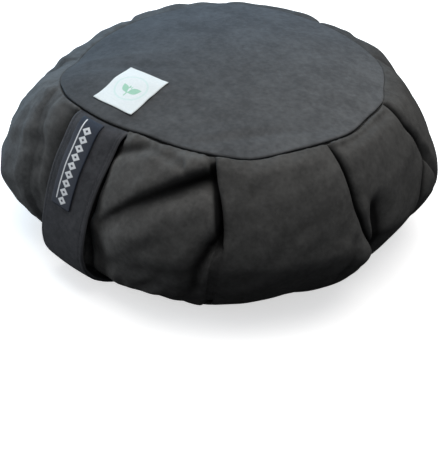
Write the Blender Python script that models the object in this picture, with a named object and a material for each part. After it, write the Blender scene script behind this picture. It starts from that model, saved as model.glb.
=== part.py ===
"""Round floor cushion with a pleated side, a carry strap, a small woven label and a sewn patch.

Frame: the cushion stands on its flat base at z = 0, centred on the z axis, and the carry strap is on
the -Y side. Angles are in degrees, counter-clockwise from above, starting at the strap. Sizes are in
metres. The drop of a point is its run down the side from the top seam.
"""
import math

import bmesh
import bpy
import numpy as np

# ------------------------------------------------------------------ driving sizes
SEAM_RADIUS = 0.1220
SEAM_HEIGHT = 0.1242
CROWN = 0.0100
BELLY_RADIUS = 0.1630
BELLY_HEIGHT = 0.0585
FOOT_RADIUS = 0.1200
UPPER_FULLNESS = 1.50
LOWER_FULLNESS = 1.40

PANEL_THICKNESS = 0.0015
CLEARANCE = 0.0003
FOOT_HEIGHT = PANEL_THICKNESS + CLEARANCE

PUFF = 0.0040
PUFF_RUN = 0.0120
PLEAT_REACH = 0.1500
OVER_RUN = 0.0080

STRAP_WIDTH = 0.0460
STRAP_THICKNESS = 0.0024
LABEL_WIDTH = 0.0200
LABEL_OFFSET = -0.0040
LABEL_LENGTH = 0.0660
LABEL_THICKNESS = 0.0010
PATCH_THICKNESS = 0.0010
PATCH_NEAR_LEFT = (-0.0252, -0.1066)
PATCH_FAR_LEFT = (-0.0367, -0.0612)
PATCH_FAR_RIGHT = (0.0016, -0.0590)
PATCH_NEAR_RIGHT = (0.0117, -0.1035)

# Unevenness round the cushion: how far the top seam, the belly and the foot stand off the mean sizes.
RING_COLUMNS = ("angle", "seam_out", "seam_up", "belly_out", "belly_up", "foot_out")
RING = (
    (-60.0, -0.0045, -0.0150, 0.0000, -0.0090, 0.0040),
    (-44.0, -0.0015, -0.0075, 0.0030, -0.0125, 0.0095),
    (-30.0, 0.0020, -0.0005, 0.0045, -0.0070, 0.0095),
    (-20.0, 0.0025, 0.0000, -0.0065, 0.0000, 0.0045),
    (-8.0, -0.0015, 0.0005, -0.0170, 0.0000, 0.0020),
    (8.0, -0.0045, 0.0005, -0.0170, -0.0005, 0.0040),
    (18.0, -0.0065, 0.0010, -0.0090, -0.0005, 0.0042),
    (30.0, -0.0025, 0.0000, -0.0025, -0.0005, 0.0025),
    (42.0, 0.0020, 0.0000, 0.0010, -0.0010, 0.0085),
    (53.0, 0.0060, -0.0010, 0.0005, 0.0005, 0.0045),
    (67.0, 0.0010, 0.0005, -0.0010, 0.0025, -0.0050),
    (79.0, 0.0005, 0.0010, 0.0005, 0.0010, 0.0030),
    (86.0, 0.0008, 0.0005, -0.0010, -0.0010, 0.0050),
    (92.0, 0.0006, 0.0000, -0.0060, 0.0010, -0.0020),
    (104.0, -0.0032, -0.0005, -0.0055, 0.0000, -0.0110),
    (116.5, -0.0005, 0.0000, -0.0015, -0.0020, -0.0120),
    (130.0, -0.0030, -0.0020, 0.0042, -0.0105, 0.0000),
    (150.0, 0.0035, -0.0050, -0.0030, -0.0030, 0.0000),
    (187.0, -0.0005, -0.0005, -0.0010, 0.0000, 0.0000),
    (225.0, -0.0005, 0.0010, 0.0015, 0.0005, 0.0000),
    (263.0, -0.0040, -0.0070, -0.0010, -0.0025, 0.0000),
)

# Knife pleats, in order round the side. side is 1 where the panel at the higher angle lies on top and -1
# where it goes under. roll is the run over which the cloth underneath rolls in, then come the depth of
# the tuck, the gap inside it and the thickness of the folded lip.
PLEAT_COLUMNS = ("side", "roll", "tuck", "gap", "lip")
PLEATS = (
    (1, 0.0200, 0.0030, 0.0010, 0.0026),
    (1, 0.0090, 0.0060, 0.0012, 0.0034),
    (1, 0.0105, 0.0080, 0.0022, 0.0046),
    (-1, 0.0100, 0.0080, 0.0022, 0.0046),
    (-1, 0.0140, 0.0080, 0.0022, 0.0046),
    (-1, 0.0090, 0.0070, 0.0012, 0.0036),
    (-1, 0.0090, 0.0070, 0.0012, 0.0036),
    (-1, 0.0090, 0.0070, 0.0012, 0.0036),
    (1, 0.0110, 0.0060, 0.0012, 0.0032),
    (1, 0.0140, 0.0050, 0.0010, 0.0030),
)

# Course of each pleat down the side and how far it stands open there, from 0 to 1.
COURSE_COLUMNS = ("pleat", "drop", "angle", "open")
COURSES = (
    (0, 0.000, -21.6, 0.00), (0, 0.012, -21.6, 0.30), (0, 0.028, -20.6, 0.50), (0, 0.036, -18.6, 0.50),
    (0, 0.046, -16.6, 0.40), (0, 0.090, -15.0, 0.30), (0, 0.157, -15.0, 0.00),
    (1, 0.000, 8.0, 0.00), (1, 0.010, 8.2, 1.00), (1, 0.045, 8.8, 1.00), (1, 0.065, 8.0, 1.00),
    (1, 0.085, 6.4, 0.90), (1, 0.110, 6.0, 0.70), (1, 0.140, 7.5, 0.50), (1, 0.157, 8.0, 0.00),
    (2, 0.000, 42.0, 0.20), (2, 0.009, 42.6, 0.50), (2, 0.017, 43.3, 0.70), (2, 0.039, 45.4, 1.00),
    (2, 0.056, 46.0, 1.00), (2, 0.068, 45.6, 0.50), (2, 0.110, 44.2, 0.35), (2, 0.145, 43.8, 0.50),
    (2, 0.157, 43.8, 0.00),
    (3, 0.000, 79.4, 0.25), (3, 0.007, 79.9, 0.85), (3, 0.020, 80.6, 1.00), (3, 0.057, 82.1, 1.00),
    (3, 0.070, 83.3, 1.00), (3, 0.087, 86.8, 0.85), (3, 0.105, 89.5, 0.70), (3, 0.135, 91.0, 0.45),
    (3, 0.157, 91.0, 0.00),
    (4, 0.000, 116.8, 0.45), (4, 0.013, 115.2, 1.00), (4, 0.031, 116.8, 1.00), (4, 0.052, 119.4, 1.00),
    (4, 0.067, 114.8, 1.00), (4, 0.082, 110.6, 1.00), (4, 0.110, 111.0, 0.70), (4, 0.157, 112.0, 0.00),
    (5, 0.000, 156.0, 0.10), (5, 0.010, 156.0, 0.80), (5, 0.024, 150.0, 0.80), (5, 0.080, 148.0, 0.70),
    (5, 0.157, 149.0, 0.00),
    (6, 0.000, 187.0, 0.00), (6, 0.012, 187.4, 0.85), (6, 0.070, 189.2, 1.00), (6, 0.120, 189.0, 0.80),
    (6, 0.157, 188.0, 0.00),
    (7, 0.000, 225.0, 0.00), (7, 0.009, 225.2, 0.80), (7, 0.050, 226.8, 1.00), (7, 0.110, 227.5, 0.70),
    (7, 0.157, 229.0, 0.00),
    (8, 0.000, 263.0, 0.00), (8, 0.014, 262.4, 0.40), (8, 0.080, 261.0, 0.45), (8, 0.157, 260.0, 0.00),
    (9, 0.000, 300.6, 0.00), (9, 0.010, 300.2, 0.30), (9, 0.060, 299.0, 0.35), (9, 0.157, 301.0, 0.00),
)

# Folds and hollows of single panels; panel n lies between pleat n and pleat n + 1, counted from nought.
# Each runs from (angle, drop) a to b with a bow. depth is at both ends, near and far are the widths on
# its right-hand and left-hand side, looking along the run from outside. rim_near and rim_far are the
# heights of the ridges beside it as shares of the depth; lead and tail are the runs of its two ends.
CREASE_COLUMNS = ("panel", "angle_a", "drop_a", "angle_b", "drop_b", "bow", "depth_a", "depth_b",
                  "near", "far", "rim_near", "rim_far", "lead", "tail")
CREASES = (
    # hollow behind the strap
    (0, -6.0, 0.0100, -4.0, 0.0800, 0.0000, 0.0090, 0.0090, 0.0200, 0.0320, 0.00, 0.00, 0.010, 0.045),
    (1, 8.0, 0.0080, 6.5, 0.0560, 0.0000, 0.0080, 0.0045, 0.0130, 0.0110, 0.00, 0.00, 0.008, 0.030),
    # swell of the low edge behind the strap's end
    (0, 0.0, 0.1210, 8.0, 0.1210, 0.0000, -0.0070, -0.0070, 0.0120, 0.0170, 0.00, 0.00, 0.020, 0.010),
    (1, 9.0, 0.1200, 19.0, 0.1220, 0.0000, -0.0070, -0.0010, 0.0110, 0.0170, 0.00, 0.00, 0.010, 0.012),
    # deep drag fold running down towards the strap, and the swell under it
    (1, 43.5, 0.0140, 14.0, 0.0660, 0.0050, 0.0078, 0.0020, 0.0090, 0.0130, 0.20, 0.10, 0.012, 0.020),
    # trough that carries the middle pleat on, down and to the left
    (1, 45.6, 0.0560, 39.2, 0.0980, 0.0000, 0.0065, 0.0045, 0.0080, 0.0080, 0.12, 0.12, 0.014, 0.030),
    # broad swells of the front panel
    (2, 53.0, 0.0300, 50.0, 0.0600, 0.0000, 0.0010, 0.0010, 0.0120, 0.0120, 0.30, 0.30, 0.020, 0.020),
    (2, 85.0, 0.1000, 86.0, 0.1250, 0.0000, -0.0050, -0.0050, 0.0140, 0.0140, 0.00, 0.00, 0.016, 0.012),
    # hollow beside the right-hand slit
    (3, 89.8, 0.0600, 89.8, 0.0860, 0.0000, 0.0085, 0.0060, 0.0080, 0.0130, 0.12, 0.08, 0.018, 0.030),
    # folds of the left-hand panels
    (9, -29.0, 0.0200, -27.8, 0.0700, 0.0000, 0.0022, 0.0026, 0.0070, 0.0090, 0.20, 0.20, 0.014, 0.030),
    # folds at the back
    (5, 171.0, 0.0200, 163.0, 0.0800, 0.0040, 0.0040, 0.0030, 0.0070, 0.0110, 0.30, 0.20, 0.015, 0.030),
    (7, 236.0, 0.0250, 250.0, 0.0800, 0.0050, 0.0045, 0.0030, 0.0080, 0.0120, 0.30, 0.20, 0.015, 0.030),
    (8, 281.0, 0.0200, 286.0, 0.0900, 0.0040, 0.0024, 0.0020, 0.0100, 0.0110, 0.25, 0.15, 0.020, 0.030),
)

# How many columns each panel takes between its pleats.
PANEL_STEPS = (5, 12, 5, 9, 5, 4, 4, 4, 4, 4)

# Course of the strap's outer face down its middle: distance out from the cushion's axis and height.
STRAP_COLUMNS = ("out", "up")
STRAP_LINE = (
    (0.1220, 0.1256),
    (0.1280, 0.1198),
    (0.1368, 0.1060),
    (0.1446, 0.0938),
    (0.1508, 0.0790),
    (0.1550, 0.0655),
    (0.1580, 0.0490),
    (0.1590, 0.0370),
    (0.1565, 0.0240),
    (0.1490, 0.0125),
    (0.1395, 0.0062),
    (0.1325, 0.0030),
    (0.1278, 0.0012),
)

COLOURS = (
    ("black cotton", (0.062, 0.064, 0.067), 0.92),
    ("black strap cotton", (0.060, 0.062, 0.068), 0.90),
    ("navy woven label", (0.018, 0.028, 0.060), 0.75),
    ("white patch cloth", (0.70, 0.76, 0.76), 0.80),
)


def clear_scene():
    for item in list(bpy.data.objects):
        bpy.data.objects.remove(item, do_unlink=True)


def ease(x):
    """Smooth step from 0 to 1."""
    x = np.clip(x, 0.0, 1.0)
    return x * x * (3.0 - 2.0 * x)


def ring_tables(spread=2.5):
    """RING on one-degree steps: straight between the rows, then rounded off by a bell curve."""
    rows = np.array(RING)
    steps = np.arange(360.0)
    bell = np.exp(-0.5 * (np.minimum(steps, 360.0 - steps) / spread) ** 2)
    bell = bell / bell.sum()
    tables = {}
    for index, name in enumerate(RING_COLUMNS[1:], start=1):
        raw = np.interp(steps, rows[:, 0], rows[:, index], period=360.0)
        tables[name] = np.real(np.fft.ifft(np.fft.fft(raw) * np.fft.fft(bell)))
    return tables


RING_TABLES = ring_tables()


def ring_value(name, angle):
    return np.interp(angle, np.arange(360.0), RING_TABLES[name], period=360.0)


def side_profile(turn, seam_out, seam_up, belly_out, belly_up, foot_out):
    """The side in section: two quarter super-ellipses, from seam to belly and from belly to foot.
    turn is 0 at the top seam, 1 at the belly and 2 at the foot."""
    upper = np.clip(turn, 0.0, 1.0) * math.pi / 2
    lower = np.clip(turn - 1.0, 0.0, 1.0) * math.pi / 2
    r_up = seam_out + (belly_out - seam_out) * np.abs(np.sin(upper)) ** (2 / UPPER_FULLNESS)
    z_up = belly_up + (seam_up - belly_up) * np.abs(np.cos(upper)) ** (2 / UPPER_FULLNESS)
    r_low = foot_out + (belly_out - foot_out) * np.abs(np.cos(lower)) ** (2 / LOWER_FULLNESS)
    z_low = belly_up - (belly_up - FOOT_HEIGHT) * np.abs(np.sin(lower)) ** (2 / LOWER_FULLNESS)
    above = turn <= 1.0
    return np.where(above, r_up, r_low), np.where(above, z_up, z_low)


def run_table(steps=600):
    """Turn against the share of the run down the mean section, and the length of that run."""
    turn = np.linspace(0.0, 2.0, steps)
    r, z = side_profile(turn, SEAM_RADIUS, SEAM_HEIGHT, BELLY_RADIUS, BELLY_HEIGHT, FOOT_RADIUS)
    run = np.concatenate([[0.0], np.cumsum(np.hypot(np.diff(r), np.diff(z)))])
    return run / run[-1], turn, run[-1]


RUN_SHARE, RUN_TURN, SIDE_RUN = run_table()


def side_point(angle, share, out):
    """Point of the side at an angle and a share of the way down from the top seam, moved by out along
    the outward normal of the section."""
    turn = np.interp(share, RUN_SHARE, RUN_TURN)
    ring = (SEAM_RADIUS + ring_value("seam_out", angle),
            SEAM_HEIGHT - PANEL_THICKNESS - CLEARANCE - 0.0003 + ring_value("seam_up", angle),
            BELLY_RADIUS + ring_value("belly_out", angle),
            BELLY_HEIGHT + ring_value("belly_up", angle),
            FOOT_RADIUS + ring_value("foot_out", angle))
    nudge = 0.004
    r, z = side_profile(turn, *ring)
    r_next, z_next = side_profile(np.clip(turn + nudge, 0.0, 2.0), *ring)
    r_last, z_last = side_profile(np.clip(turn - nudge, 0.0, 2.0), *ring)
    length = np.hypot(r_next - r_last, z_next - z_last)
    r = r - (z_next - z_last) / length * out
    z = z + (r_next - r_last) / length * out
    z = np.maximum(z, FOOT_HEIGHT)
    a = np.radians(angle)
    return np.stack([r * np.sin(a), -r * np.cos(a), z], -1)


def course_of(index, share):
    """Angle and opening of a pleat at shares of the way down: its table, rounded off over 5 mm."""
    rows = np.array([row[1:] for row in COURSES if row[0] == index])
    fine = np.linspace(-0.2, 1.2, 1401)
    bell = np.exp(-0.5 * (np.arange(-90, 91) * 0.001 / 0.025) ** 2)
    bell = bell / bell.sum()
    found = []
    for column in (1, 2):
        raw = np.interp(fine * SIDE_RUN, rows[:, 0], rows[:, column])
        found.append(np.interp(share, fine, np.convolve(raw, bell, "same")))
    return found


def crease_field(panel, angle, share):
    """Folds and hollows of one panel along the outward normal: a bell-shaped trough across a bowed line,
    wider on one side than the other, with a low ridge on either side. It dies away at both seams."""
    total = np.zeros(np.broadcast(angle, share).shape)
    for row in CREASES:
        if row[0] != panel:
            continue
        angle_a, drop_a, angle_b, drop_b, bow, depth_a, depth_b = row[1:8]
        near, far, rim_near, rim_far, lead, tail = row[8:]
        x = np.radians((angle - angle_a + 180.0) % 360.0 - 180.0) * PLEAT_REACH
        y = drop_a - share * SIDE_RUN
        end_x = math.radians((angle_b - angle_a + 180.0) % 360.0 - 180.0) * PLEAT_REACH
        end_y = drop_a - drop_b
        length = math.hypot(end_x, end_y)
        along = (x * end_x + y * end_y) / length ** 2
        across = (x * end_y - y * end_x) / length
        inside = np.clip(along, -0.2, 1.2)
        across = across - bow * 4.0 * inside * (1.0 - inside)
        depth = depth_a + (depth_b - depth_a) * np.clip(along, 0.0, 1.0)
        fade = ease((along * length + lead) / lead) * ease(((1.0 - along) * length + tail) / tail)
        width = np.where(across > 0.0, near, far)
        trough = np.exp(-np.abs(across / width) ** 1.8)
        crest = rim_near * np.exp(-((across - 2.6 * near) / (2.0 * near)) ** 2)
        crest = crest + rim_far * np.exp(-((across + 1.8 * far) / (1.2 * far)) ** 2)
        total = total + fade * depth * (crest - trough)
    return total * ease(share / 0.05) * ease((1.0 - share) / 0.08)


def fold_template(steps):
    """One knife pleat in plan, from the panel underneath to the panel on top.

    The panel underneath rolls in, runs back below the top one, turns round a half circle at the end of
    the tuck, comes forward again and turns over the lip. Each point is a sum of the sizes (roll, tuck,
    gap, lip, over) times the shares held here: one set for the run round the side, one for the height.
    With them come how far a point belongs to the panel underneath, to the panel on top, and how much
    of the panel's swell it takes."""
    n_roll, n_under, n_end, n_mid, n_lip, n_over = steps
    rows = []
    for i in range(n_roll):
        a = 1.0 - i / n_roll
        c = 0.5 + 0.5 * math.cos(math.pi * a)
        rows.append(((-a, 0, 0, 0, 0), (0, 0, -c, -c, 0), (c, 0.0, 1.0)))
    for i in range(n_under):
        b = i / n_under
        rows.append(((0, b, -0.5 * b, 0, 0), (0, 0, -1, -1, 0), (1.0, 0.0, 0.0)))
    for i in range(n_end + 1):
        t = math.pi * (i / n_end - 0.5)
        share = 0.5 + 0.5 * math.sin(t)
        rows.append(((0, 1, 0.5 * math.cos(t) - 0.5, 0, 0), (0, 0, share - 1.0, -1, 0), (1.0, share, 0.0)))
    for i in range(n_mid):
        e = (i + 1) / (n_mid + 1)
        rows.append(((0, 1 - e, 0.5 * e - 0.5, 0.5 * e, 0), (0, 0, 0, -1, 0), (0.0, 1.0, 0.0)))
    for i in range(n_lip + 1):
        t = math.pi * (i / n_lip - 0.5)
        rise = 0.5 * math.sin(t) - 0.5
        rows.append(((0, 0, 0, 0.5 - 0.5 * math.cos(t), 0), (0, 0, 0, rise, 0),
                     (0.0, 1.0, float(ease(i / n_lip)))))
    for i in range(n_over):
        g = (i + 1) / n_over
        rows.append(((0, 0, 0, 0.5 * (1 - g), g), (0, 0, 0, 0, 0), (0.0, 1.0, 1.0)))
    run = np.array([row[0] for row in rows], float)
    height = np.array([row[1] for row in rows], float)
    belongs = np.array([row[2] for row in rows], float)
    return run, height, belongs[:, 0], belongs[:, 1], belongs[:, 2]


def panel_puff(left, right, share):
    """Swell of a panel between its two pleats, dying away at the top seam and at the foot."""
    swell = (1.0 - np.exp(-left / PUFF_RUN)) * (1.0 - np.exp(-right / PUFF_RUN))
    return PUFF * swell * ease(share / 0.10) * ease((1.0 - share) / 0.30)


def side_grid(shares, steps):
    """The pleated side as a grid of points: rows down from the top seam, columns once round."""
    f = np.asarray(shares)[:, None]
    run, height, under, over, puff = fold_template(steps)
    count = len(PLEATS)
    hold = ease(f / 0.035) * ease((1.0 - f) / 0.08)
    courses = [course_of(index, f) for index in range(count)]
    folds = []
    for k, pleat in enumerate(PLEATS):
        side = pleat[0]
        sizes = np.array([*pleat[1:5], OVER_RUN])
        line, opening = courses[k]
        share_open = hold * opening
        flat = np.linspace(-pleat[1], OVER_RUN, len(run))[None, :]
        blend = np.clip(share_open * 2.0, 0.0, 1.0)
        u = (1 - blend) * flat + blend * (run @ sizes)[None, :]
        d = share_open * (height @ sizes)[None, :]
        order = slice(None) if side > 0 else slice(None, None, -1)
        u = side * u[:, order]
        d = d[:, order]
        angle = line + np.degrees(u / PLEAT_REACH)
        panels = ((k - 1) % count, k) if side > 0 else (k, (k - 1) % count)
        low = crease_field(panels[0], angle, f)
        high = crease_field(panels[1], angle, f)
        low = low - np.maximum(0.0, low - high) * under[order][None, :]
        share_high = over[order][None, :]
        field = (1 - share_high) * low + share_high * high
        swell = panel_puff(np.abs(u) * puff[order][None, :], 0.06, f)
        folds.append((angle, d + field + swell))
    pieces = []
    for k in range(count):
        angle, out = folds[k]
        pieces.append(side_point(angle, f, out))
        start = angle[:, -1:]
        stop = start + (folds[(k + 1) % count][0][:, :1] - start) % 360.0
        middle = start + (stop - start) * (np.arange(1, PANEL_STEPS[k]) / PANEL_STEPS[k])[None, :]
        left = np.radians((middle - courses[k][0]) % 360.0) * PLEAT_REACH
        right = np.radians((courses[(k + 1) % count][0] - middle) % 360.0) * PLEAT_REACH
        pieces.append(side_point(middle, f, crease_field(k, middle, f) + panel_puff(left, right, f)))
    return np.concatenate(pieces, axis=1)


def crown_point(angle, share, drop=0.0):
    """Point of the top panel's upper face at an angle and a share of the way out from its centre, or
    drop below it: a low dome that follows the seam at its rim."""
    r = (SEAM_RADIUS + ring_value("seam_out", angle)) * share
    z = SEAM_HEIGHT + CROWN * (1.0 - share ** 2.2) + ring_value("seam_up", angle) * share ** 3 - drop
    a = np.radians(angle)
    return np.stack([r * np.sin(a), -r * np.cos(a), z], -1)


def strip_faces(ring_a, ring_b):
    """Quads between two closed rings of equal length."""
    n = len(ring_a)
    return [(ring_a[i], ring_b[i], ring_b[(i + 1) % n], ring_a[(i + 1) % n]) for i in range(n)]


def ring_solid(name, rings, colour, first_point=None, last_point=None):
    """Closed solid from a stack of closed rings, each end shut by a fan to a point or by one flat face."""
    points = []
    index = []
    for ring in rings:
        index.append(list(range(len(points), len(points) + len(ring))))
        points.extend(ring)
    faces = []
    for a, b in zip(index[:-1], index[1:]):
        faces.extend(strip_faces(a, b))
    for ring, point in ((index[0], first_point), (index[-1], last_point)):
        n = len(ring)
        if point is None:
            faces.append(tuple(ring))
            continue
        points.append(point)
        faces.extend((len(points) - 1, ring[i], ring[(i + 1) % n]) for i in range(n))
    return add_object(name, points, faces, colour)


def add_object(name, points, faces, colour):
    mesh = bpy.data.meshes.new(name)
    mesh.from_pydata([tuple(float(c) for c in p) for p in points], [], faces)
    shell = bmesh.new()
    shell.from_mesh(mesh)
    bmesh.ops.recalc_face_normals(shell, faces=shell.faces)
    shell.to_mesh(mesh)
    shell.free()
    item = bpy.data.objects.new(name, mesh)
    bpy.context.scene.collection.objects.link(item)
    for polygon in mesh.polygons:
        polygon.use_smooth = True
    mesh.materials.append(colour)
    return item


def make_material(name, colour, roughness):
    material = bpy.data.materials.new(name)
    material.use_nodes = True
    shader = material.node_tree.nodes["Principled BSDF"]
    shader.inputs["Base Color"].default_value = (*colour, 1.0)
    shader.inputs["Roughness"].default_value = roughness
    shader.inputs["Metallic"].default_value = 0.0
    material.diffuse_color = (*colour, 1.0)
    return material


def grid_angles(grid):
    """Angle of every column of the side at its top row."""
    return np.degrees(np.arctan2(grid[0, :, 0], -grid[0, :, 1]))


def filled_body(colour):
    """Pleated side with its filling, closed above and below under the two round panels."""
    shares = (0.0, 0.012, 0.035, 0.070, 0.115, 0.17, 0.23, 0.295, 0.36, 0.43, 0.51, 0.60, 0.69, 0.79, 0.88,
              0.95, 1.0)
    grid = side_grid(shares, (3, 1, 2, 1, 3, 1))
    angle = grid_angles(grid)
    sunk = PANEL_THICKNESS + CLEARANCE
    rings = [crown_point(angle, np.full(len(angle), share), sunk + 0.0005) for share in (0.35, 0.75)]
    rings.extend(grid)
    centre = crown_point(0.0, 0.0, sunk + 0.0005)
    return ring_solid("filled_body", rings, colour, first_point=centre, last_point=(0.0, 0.0, FOOT_HEIGHT))


def top_panel(colour):
    """Round top cloth lying on the filling, its rim turned down level with the seam."""
    count = 90
    angle = np.arange(count) * 360.0 / count
    shares = (0.35, 0.75, 0.995)
    rings = [crown_point(angle, np.full(count, share)) for share in shares]
    rim = np.full(count, 1.003)
    rings.append(crown_point(angle, rim, 0.0005))
    rings.append(crown_point(angle, rim, PANEL_THICKNESS - 0.0004))
    rings.extend(crown_point(angle, np.full(count, share), PANEL_THICKNESS) for share in shares[::-1])
    return ring_solid("top_panel", rings, colour, first_point=crown_point(0.0, 0.0),
                      last_point=crown_point(0.0, 0.0, PANEL_THICKNESS))


def foot_ring(angle, inset, height):
    r = FOOT_RADIUS + ring_value("foot_out", angle) - inset
    a = np.radians(angle)
    return np.stack([r * np.sin(a), -r * np.cos(a), np.full(len(angle), height)], -1)


def bottom_panel(colour):
    """Round bottom cloth, flat underneath: the face the cushion rests on."""
    angle = np.arange(72) * 5.0
    rings = [foot_ring(angle, 0.0010, 0.0), foot_ring(angle, 0.0004, 0.0004),
             foot_ring(angle, 0.0004, PANEL_THICKNESS - 0.0004), foot_ring(angle, 0.0010, PANEL_THICKNESS)]
    return ring_solid("bottom_panel", rings, colour)


def soft_line(points, steps, passes=60):
    """Evenly spaced points on a rounded-off line through a short table of points, ends held."""
    table = np.array(points, float)
    run = np.concatenate([[0.0], np.cumsum(np.hypot(*np.diff(table, axis=0).T))])
    even = np.linspace(0.0, run[-1], 161)
    line = np.stack([np.interp(even, run, table[:, i]) for i in range(2)], -1)
    for _ in range(passes):
        line[1:-1] = 0.25 * line[:-2] + 0.5 * line[1:-1] + 0.25 * line[2:]
    run = np.concatenate([[0.0], np.cumsum(np.hypot(*np.diff(line, axis=0).T))])
    even = np.linspace(0.0, run[-1], steps)
    return np.stack([np.interp(even, run, line[:, i]) for i in range(2)], -1), run[-1]


def seam_reach(x):
    """Distance of the top seam from the x axis, level with x on the strap."""
    angle = np.degrees(np.arcsin(np.asarray(x) / SEAM_RADIUS))
    return (SEAM_RADIUS + ring_value("seam_out", angle)) * np.cos(np.radians(angle))


def strap_point(x, along, lift):
    """Point of the strap at x across it and a share along it, lift above its outer face. Near the seam
    the strap bends round the cushion; lower down it hangs flat."""
    line, length = soft_line(STRAP_LINE, 241)
    place = np.linspace(0.0, 1.0, 241)
    tangent = np.gradient(line, axis=0)
    tangent = tangent / np.hypot(tangent[:, 0], tangent[:, 1])[:, None]
    out = np.interp(along, place, line[:, 0])
    up = np.interp(along, place, line[:, 1])
    normal_out = -np.interp(along, place, tangent[:, 1])
    normal_up = np.interp(along, place, tangent[:, 0])
    bend = (seam_reach(0.0) - seam_reach(x)) * (1.0 - 0.95 * ease(along / 0.50))
    out = out + normal_out * lift - bend
    up = up + normal_up * lift
    return np.stack([np.broadcast_to(x, out.shape), -out, up], -1)


def band_solid(name, middle, half_width, first, last, top, thickness, steps, colour, rounding):
    """Strip along the strap between two shares of its length, centred on x = middle, its faces at top
    and top - thickness above the strap's outer face."""
    cut = min(rounding, half_width)
    section = ((-half_width, -0.5), (-half_width + cut, 0.0), (-0.34 * half_width, 0.0),
               (0.34 * half_width, 0.0), (half_width - cut, 0.0), (half_width, -0.5),
               (half_width - cut, -1.0), (0.0, -1.0), (-half_width + cut, -1.0))
    x = middle + np.array([p[0] for p in section])
    lift = np.array([top + p[1] * thickness for p in section])
    rings = [strap_point(x, np.full(len(x), share), lift) for share in np.linspace(first, last, steps)]
    return ring_solid(name, rings, colour)


def carry_strap(colour):
    return band_solid("carry_strap", 0.0, STRAP_WIDTH / 2, 0.0, 1.0, 0.0, STRAP_THICKNESS, 27, colour, 0.0010)


def strap_label(colour):
    """Plain woven label sewn to the strap's outer face."""
    length = soft_line(STRAP_LINE, 3)[1]
    first = 0.0030 / length
    last = first + LABEL_LENGTH / length
    top = CLEARANCE + LABEL_THICKNESS
    return band_solid("strap_label", LABEL_OFFSET, LABEL_WIDTH / 2, first, last, top, LABEL_THICKNESS, 15,
                      colour, 0.0004)


def patch_place(s, t):
    """Plan of the patch at shares s and t, each from -1 to 1: blended between its four corners."""
    right, far = 0.5 + 0.5 * s, 0.5 + 0.5 * t
    near_edge = (1 - right) * np.array(PATCH_NEAR_LEFT) + right * np.array(PATCH_NEAR_RIGHT)
    far_edge = (1 - right) * np.array(PATCH_FAR_LEFT) + right * np.array(PATCH_FAR_RIGHT)
    return (1 - far) * near_edge + far * far_edge


def top_patch(colour):
    """Small oblong cloth patch lying on the top panel, near the strap."""
    outline = []
    corner_steps = ((-1, -1, 1, -1, 6), (1, -1, 1, 1, 9), (1, 1, -1, 1, 6), (-1, 1, -1, -1, 9))
    for ax, ay, bx, by, count in corner_steps:
        for i in range(count):
            t = i / count
            outline.append((ax + (bx - ax) * t, ay + (by - ay) * t))
    outline = np.array(outline)
    low, high = CLEARANCE, CLEARANCE + PATCH_THICKNESS
    middle = 0.5 * (low + high)
    rings = []
    for level, share in ((low, 0.30), (low, 0.65), (low, 0.98), (middle, 1.0), (high, 0.98), (high, 0.65),
                         (high, 0.30)):
        rings.append(on_crown(patch_place(share * outline[:, :1], share * outline[:, 1:]), level))
    centre = patch_place(np.zeros((1, 1)), np.zeros((1, 1)))
    return ring_solid("top_patch", rings, colour, first_point=on_crown(centre, low)[0],
                      last_point=on_crown(centre, high)[0])


def on_crown(flat, level):
    """Points of the plane put level above the top panel."""
    angle = np.degrees(np.arctan2(flat[:, 0], -flat[:, 1]))
    share = np.hypot(flat[:, 0], flat[:, 1]) / (SEAM_RADIUS + ring_value("seam_out", angle))
    place = crown_point(angle, share, -level)
    return np.stack([flat[:, 0], flat[:, 1], place[:, 2]], -1)


def main():
    clear_scene()
    body_cotton, strap_cotton, navy, white = [make_material(*row) for row in COLOURS]
    panel_cotton = make_material("black top cotton", COLOURS[0][1], COLOURS[0][2])
    base_cotton = make_material("black base cotton", COLOURS[0][1], COLOURS[0][2])
    filled_body(body_cotton)
    top_panel(panel_cotton)
    bottom_panel(base_cotton)
    carry_strap(strap_cotton)
    strap_label(navy)
    top_patch(white)


main()
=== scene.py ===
"""Looks for the round meditation cushion: pleated side, top and base cloths, strap, ribbon and patch.

Angles are in degrees, counter-clockwise from above, starting at the strap on the -Y side. The drop of a
point is its run down the side from the top seam. All sizes are in metres. A point of the cloth is first
put on a smooth round section, then pushed out along the section's normal and slid along the cloth.
"""
import math

import bpy
import numpy as np
from mathutils import Euler, Matrix, Vector


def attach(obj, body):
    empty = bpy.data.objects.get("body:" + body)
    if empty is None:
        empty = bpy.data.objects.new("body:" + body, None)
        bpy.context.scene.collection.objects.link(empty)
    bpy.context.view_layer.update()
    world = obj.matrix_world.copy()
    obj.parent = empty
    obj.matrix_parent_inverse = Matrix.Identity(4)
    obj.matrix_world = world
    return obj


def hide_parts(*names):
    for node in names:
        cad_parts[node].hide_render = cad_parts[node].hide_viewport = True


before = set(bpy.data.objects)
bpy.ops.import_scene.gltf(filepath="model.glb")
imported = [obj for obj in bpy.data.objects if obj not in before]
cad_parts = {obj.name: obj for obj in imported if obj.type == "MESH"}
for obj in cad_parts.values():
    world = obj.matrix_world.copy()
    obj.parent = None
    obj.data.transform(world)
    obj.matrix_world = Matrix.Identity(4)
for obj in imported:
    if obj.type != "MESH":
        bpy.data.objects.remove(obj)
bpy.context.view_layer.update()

# ------------------------------------------------------------------ sizes of the sewn pieces
SEAM_RADIUS = 0.1220
SEAM_HEIGHT = 0.1242
SEAM_GROOVE = 0.0034
GROOVE_WIDTH = 0.0012
CROWN = 0.0100
BELLY_RADIUS = 0.1630
BELLY_HEIGHT = 0.0585
FOOT_RADIUS = 0.1200
FOOT_HEIGHT = 0.0018
UPPER_FULLNESS = 1.50
LOWER_FULLNESS = 1.40
CLOTH = 0.0015
CLEARANCE = 0.0003
PUFF_RUN = 0.0120
PLEAT_SWELL = 0.0040
FAR_OFF = 0.0600
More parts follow.
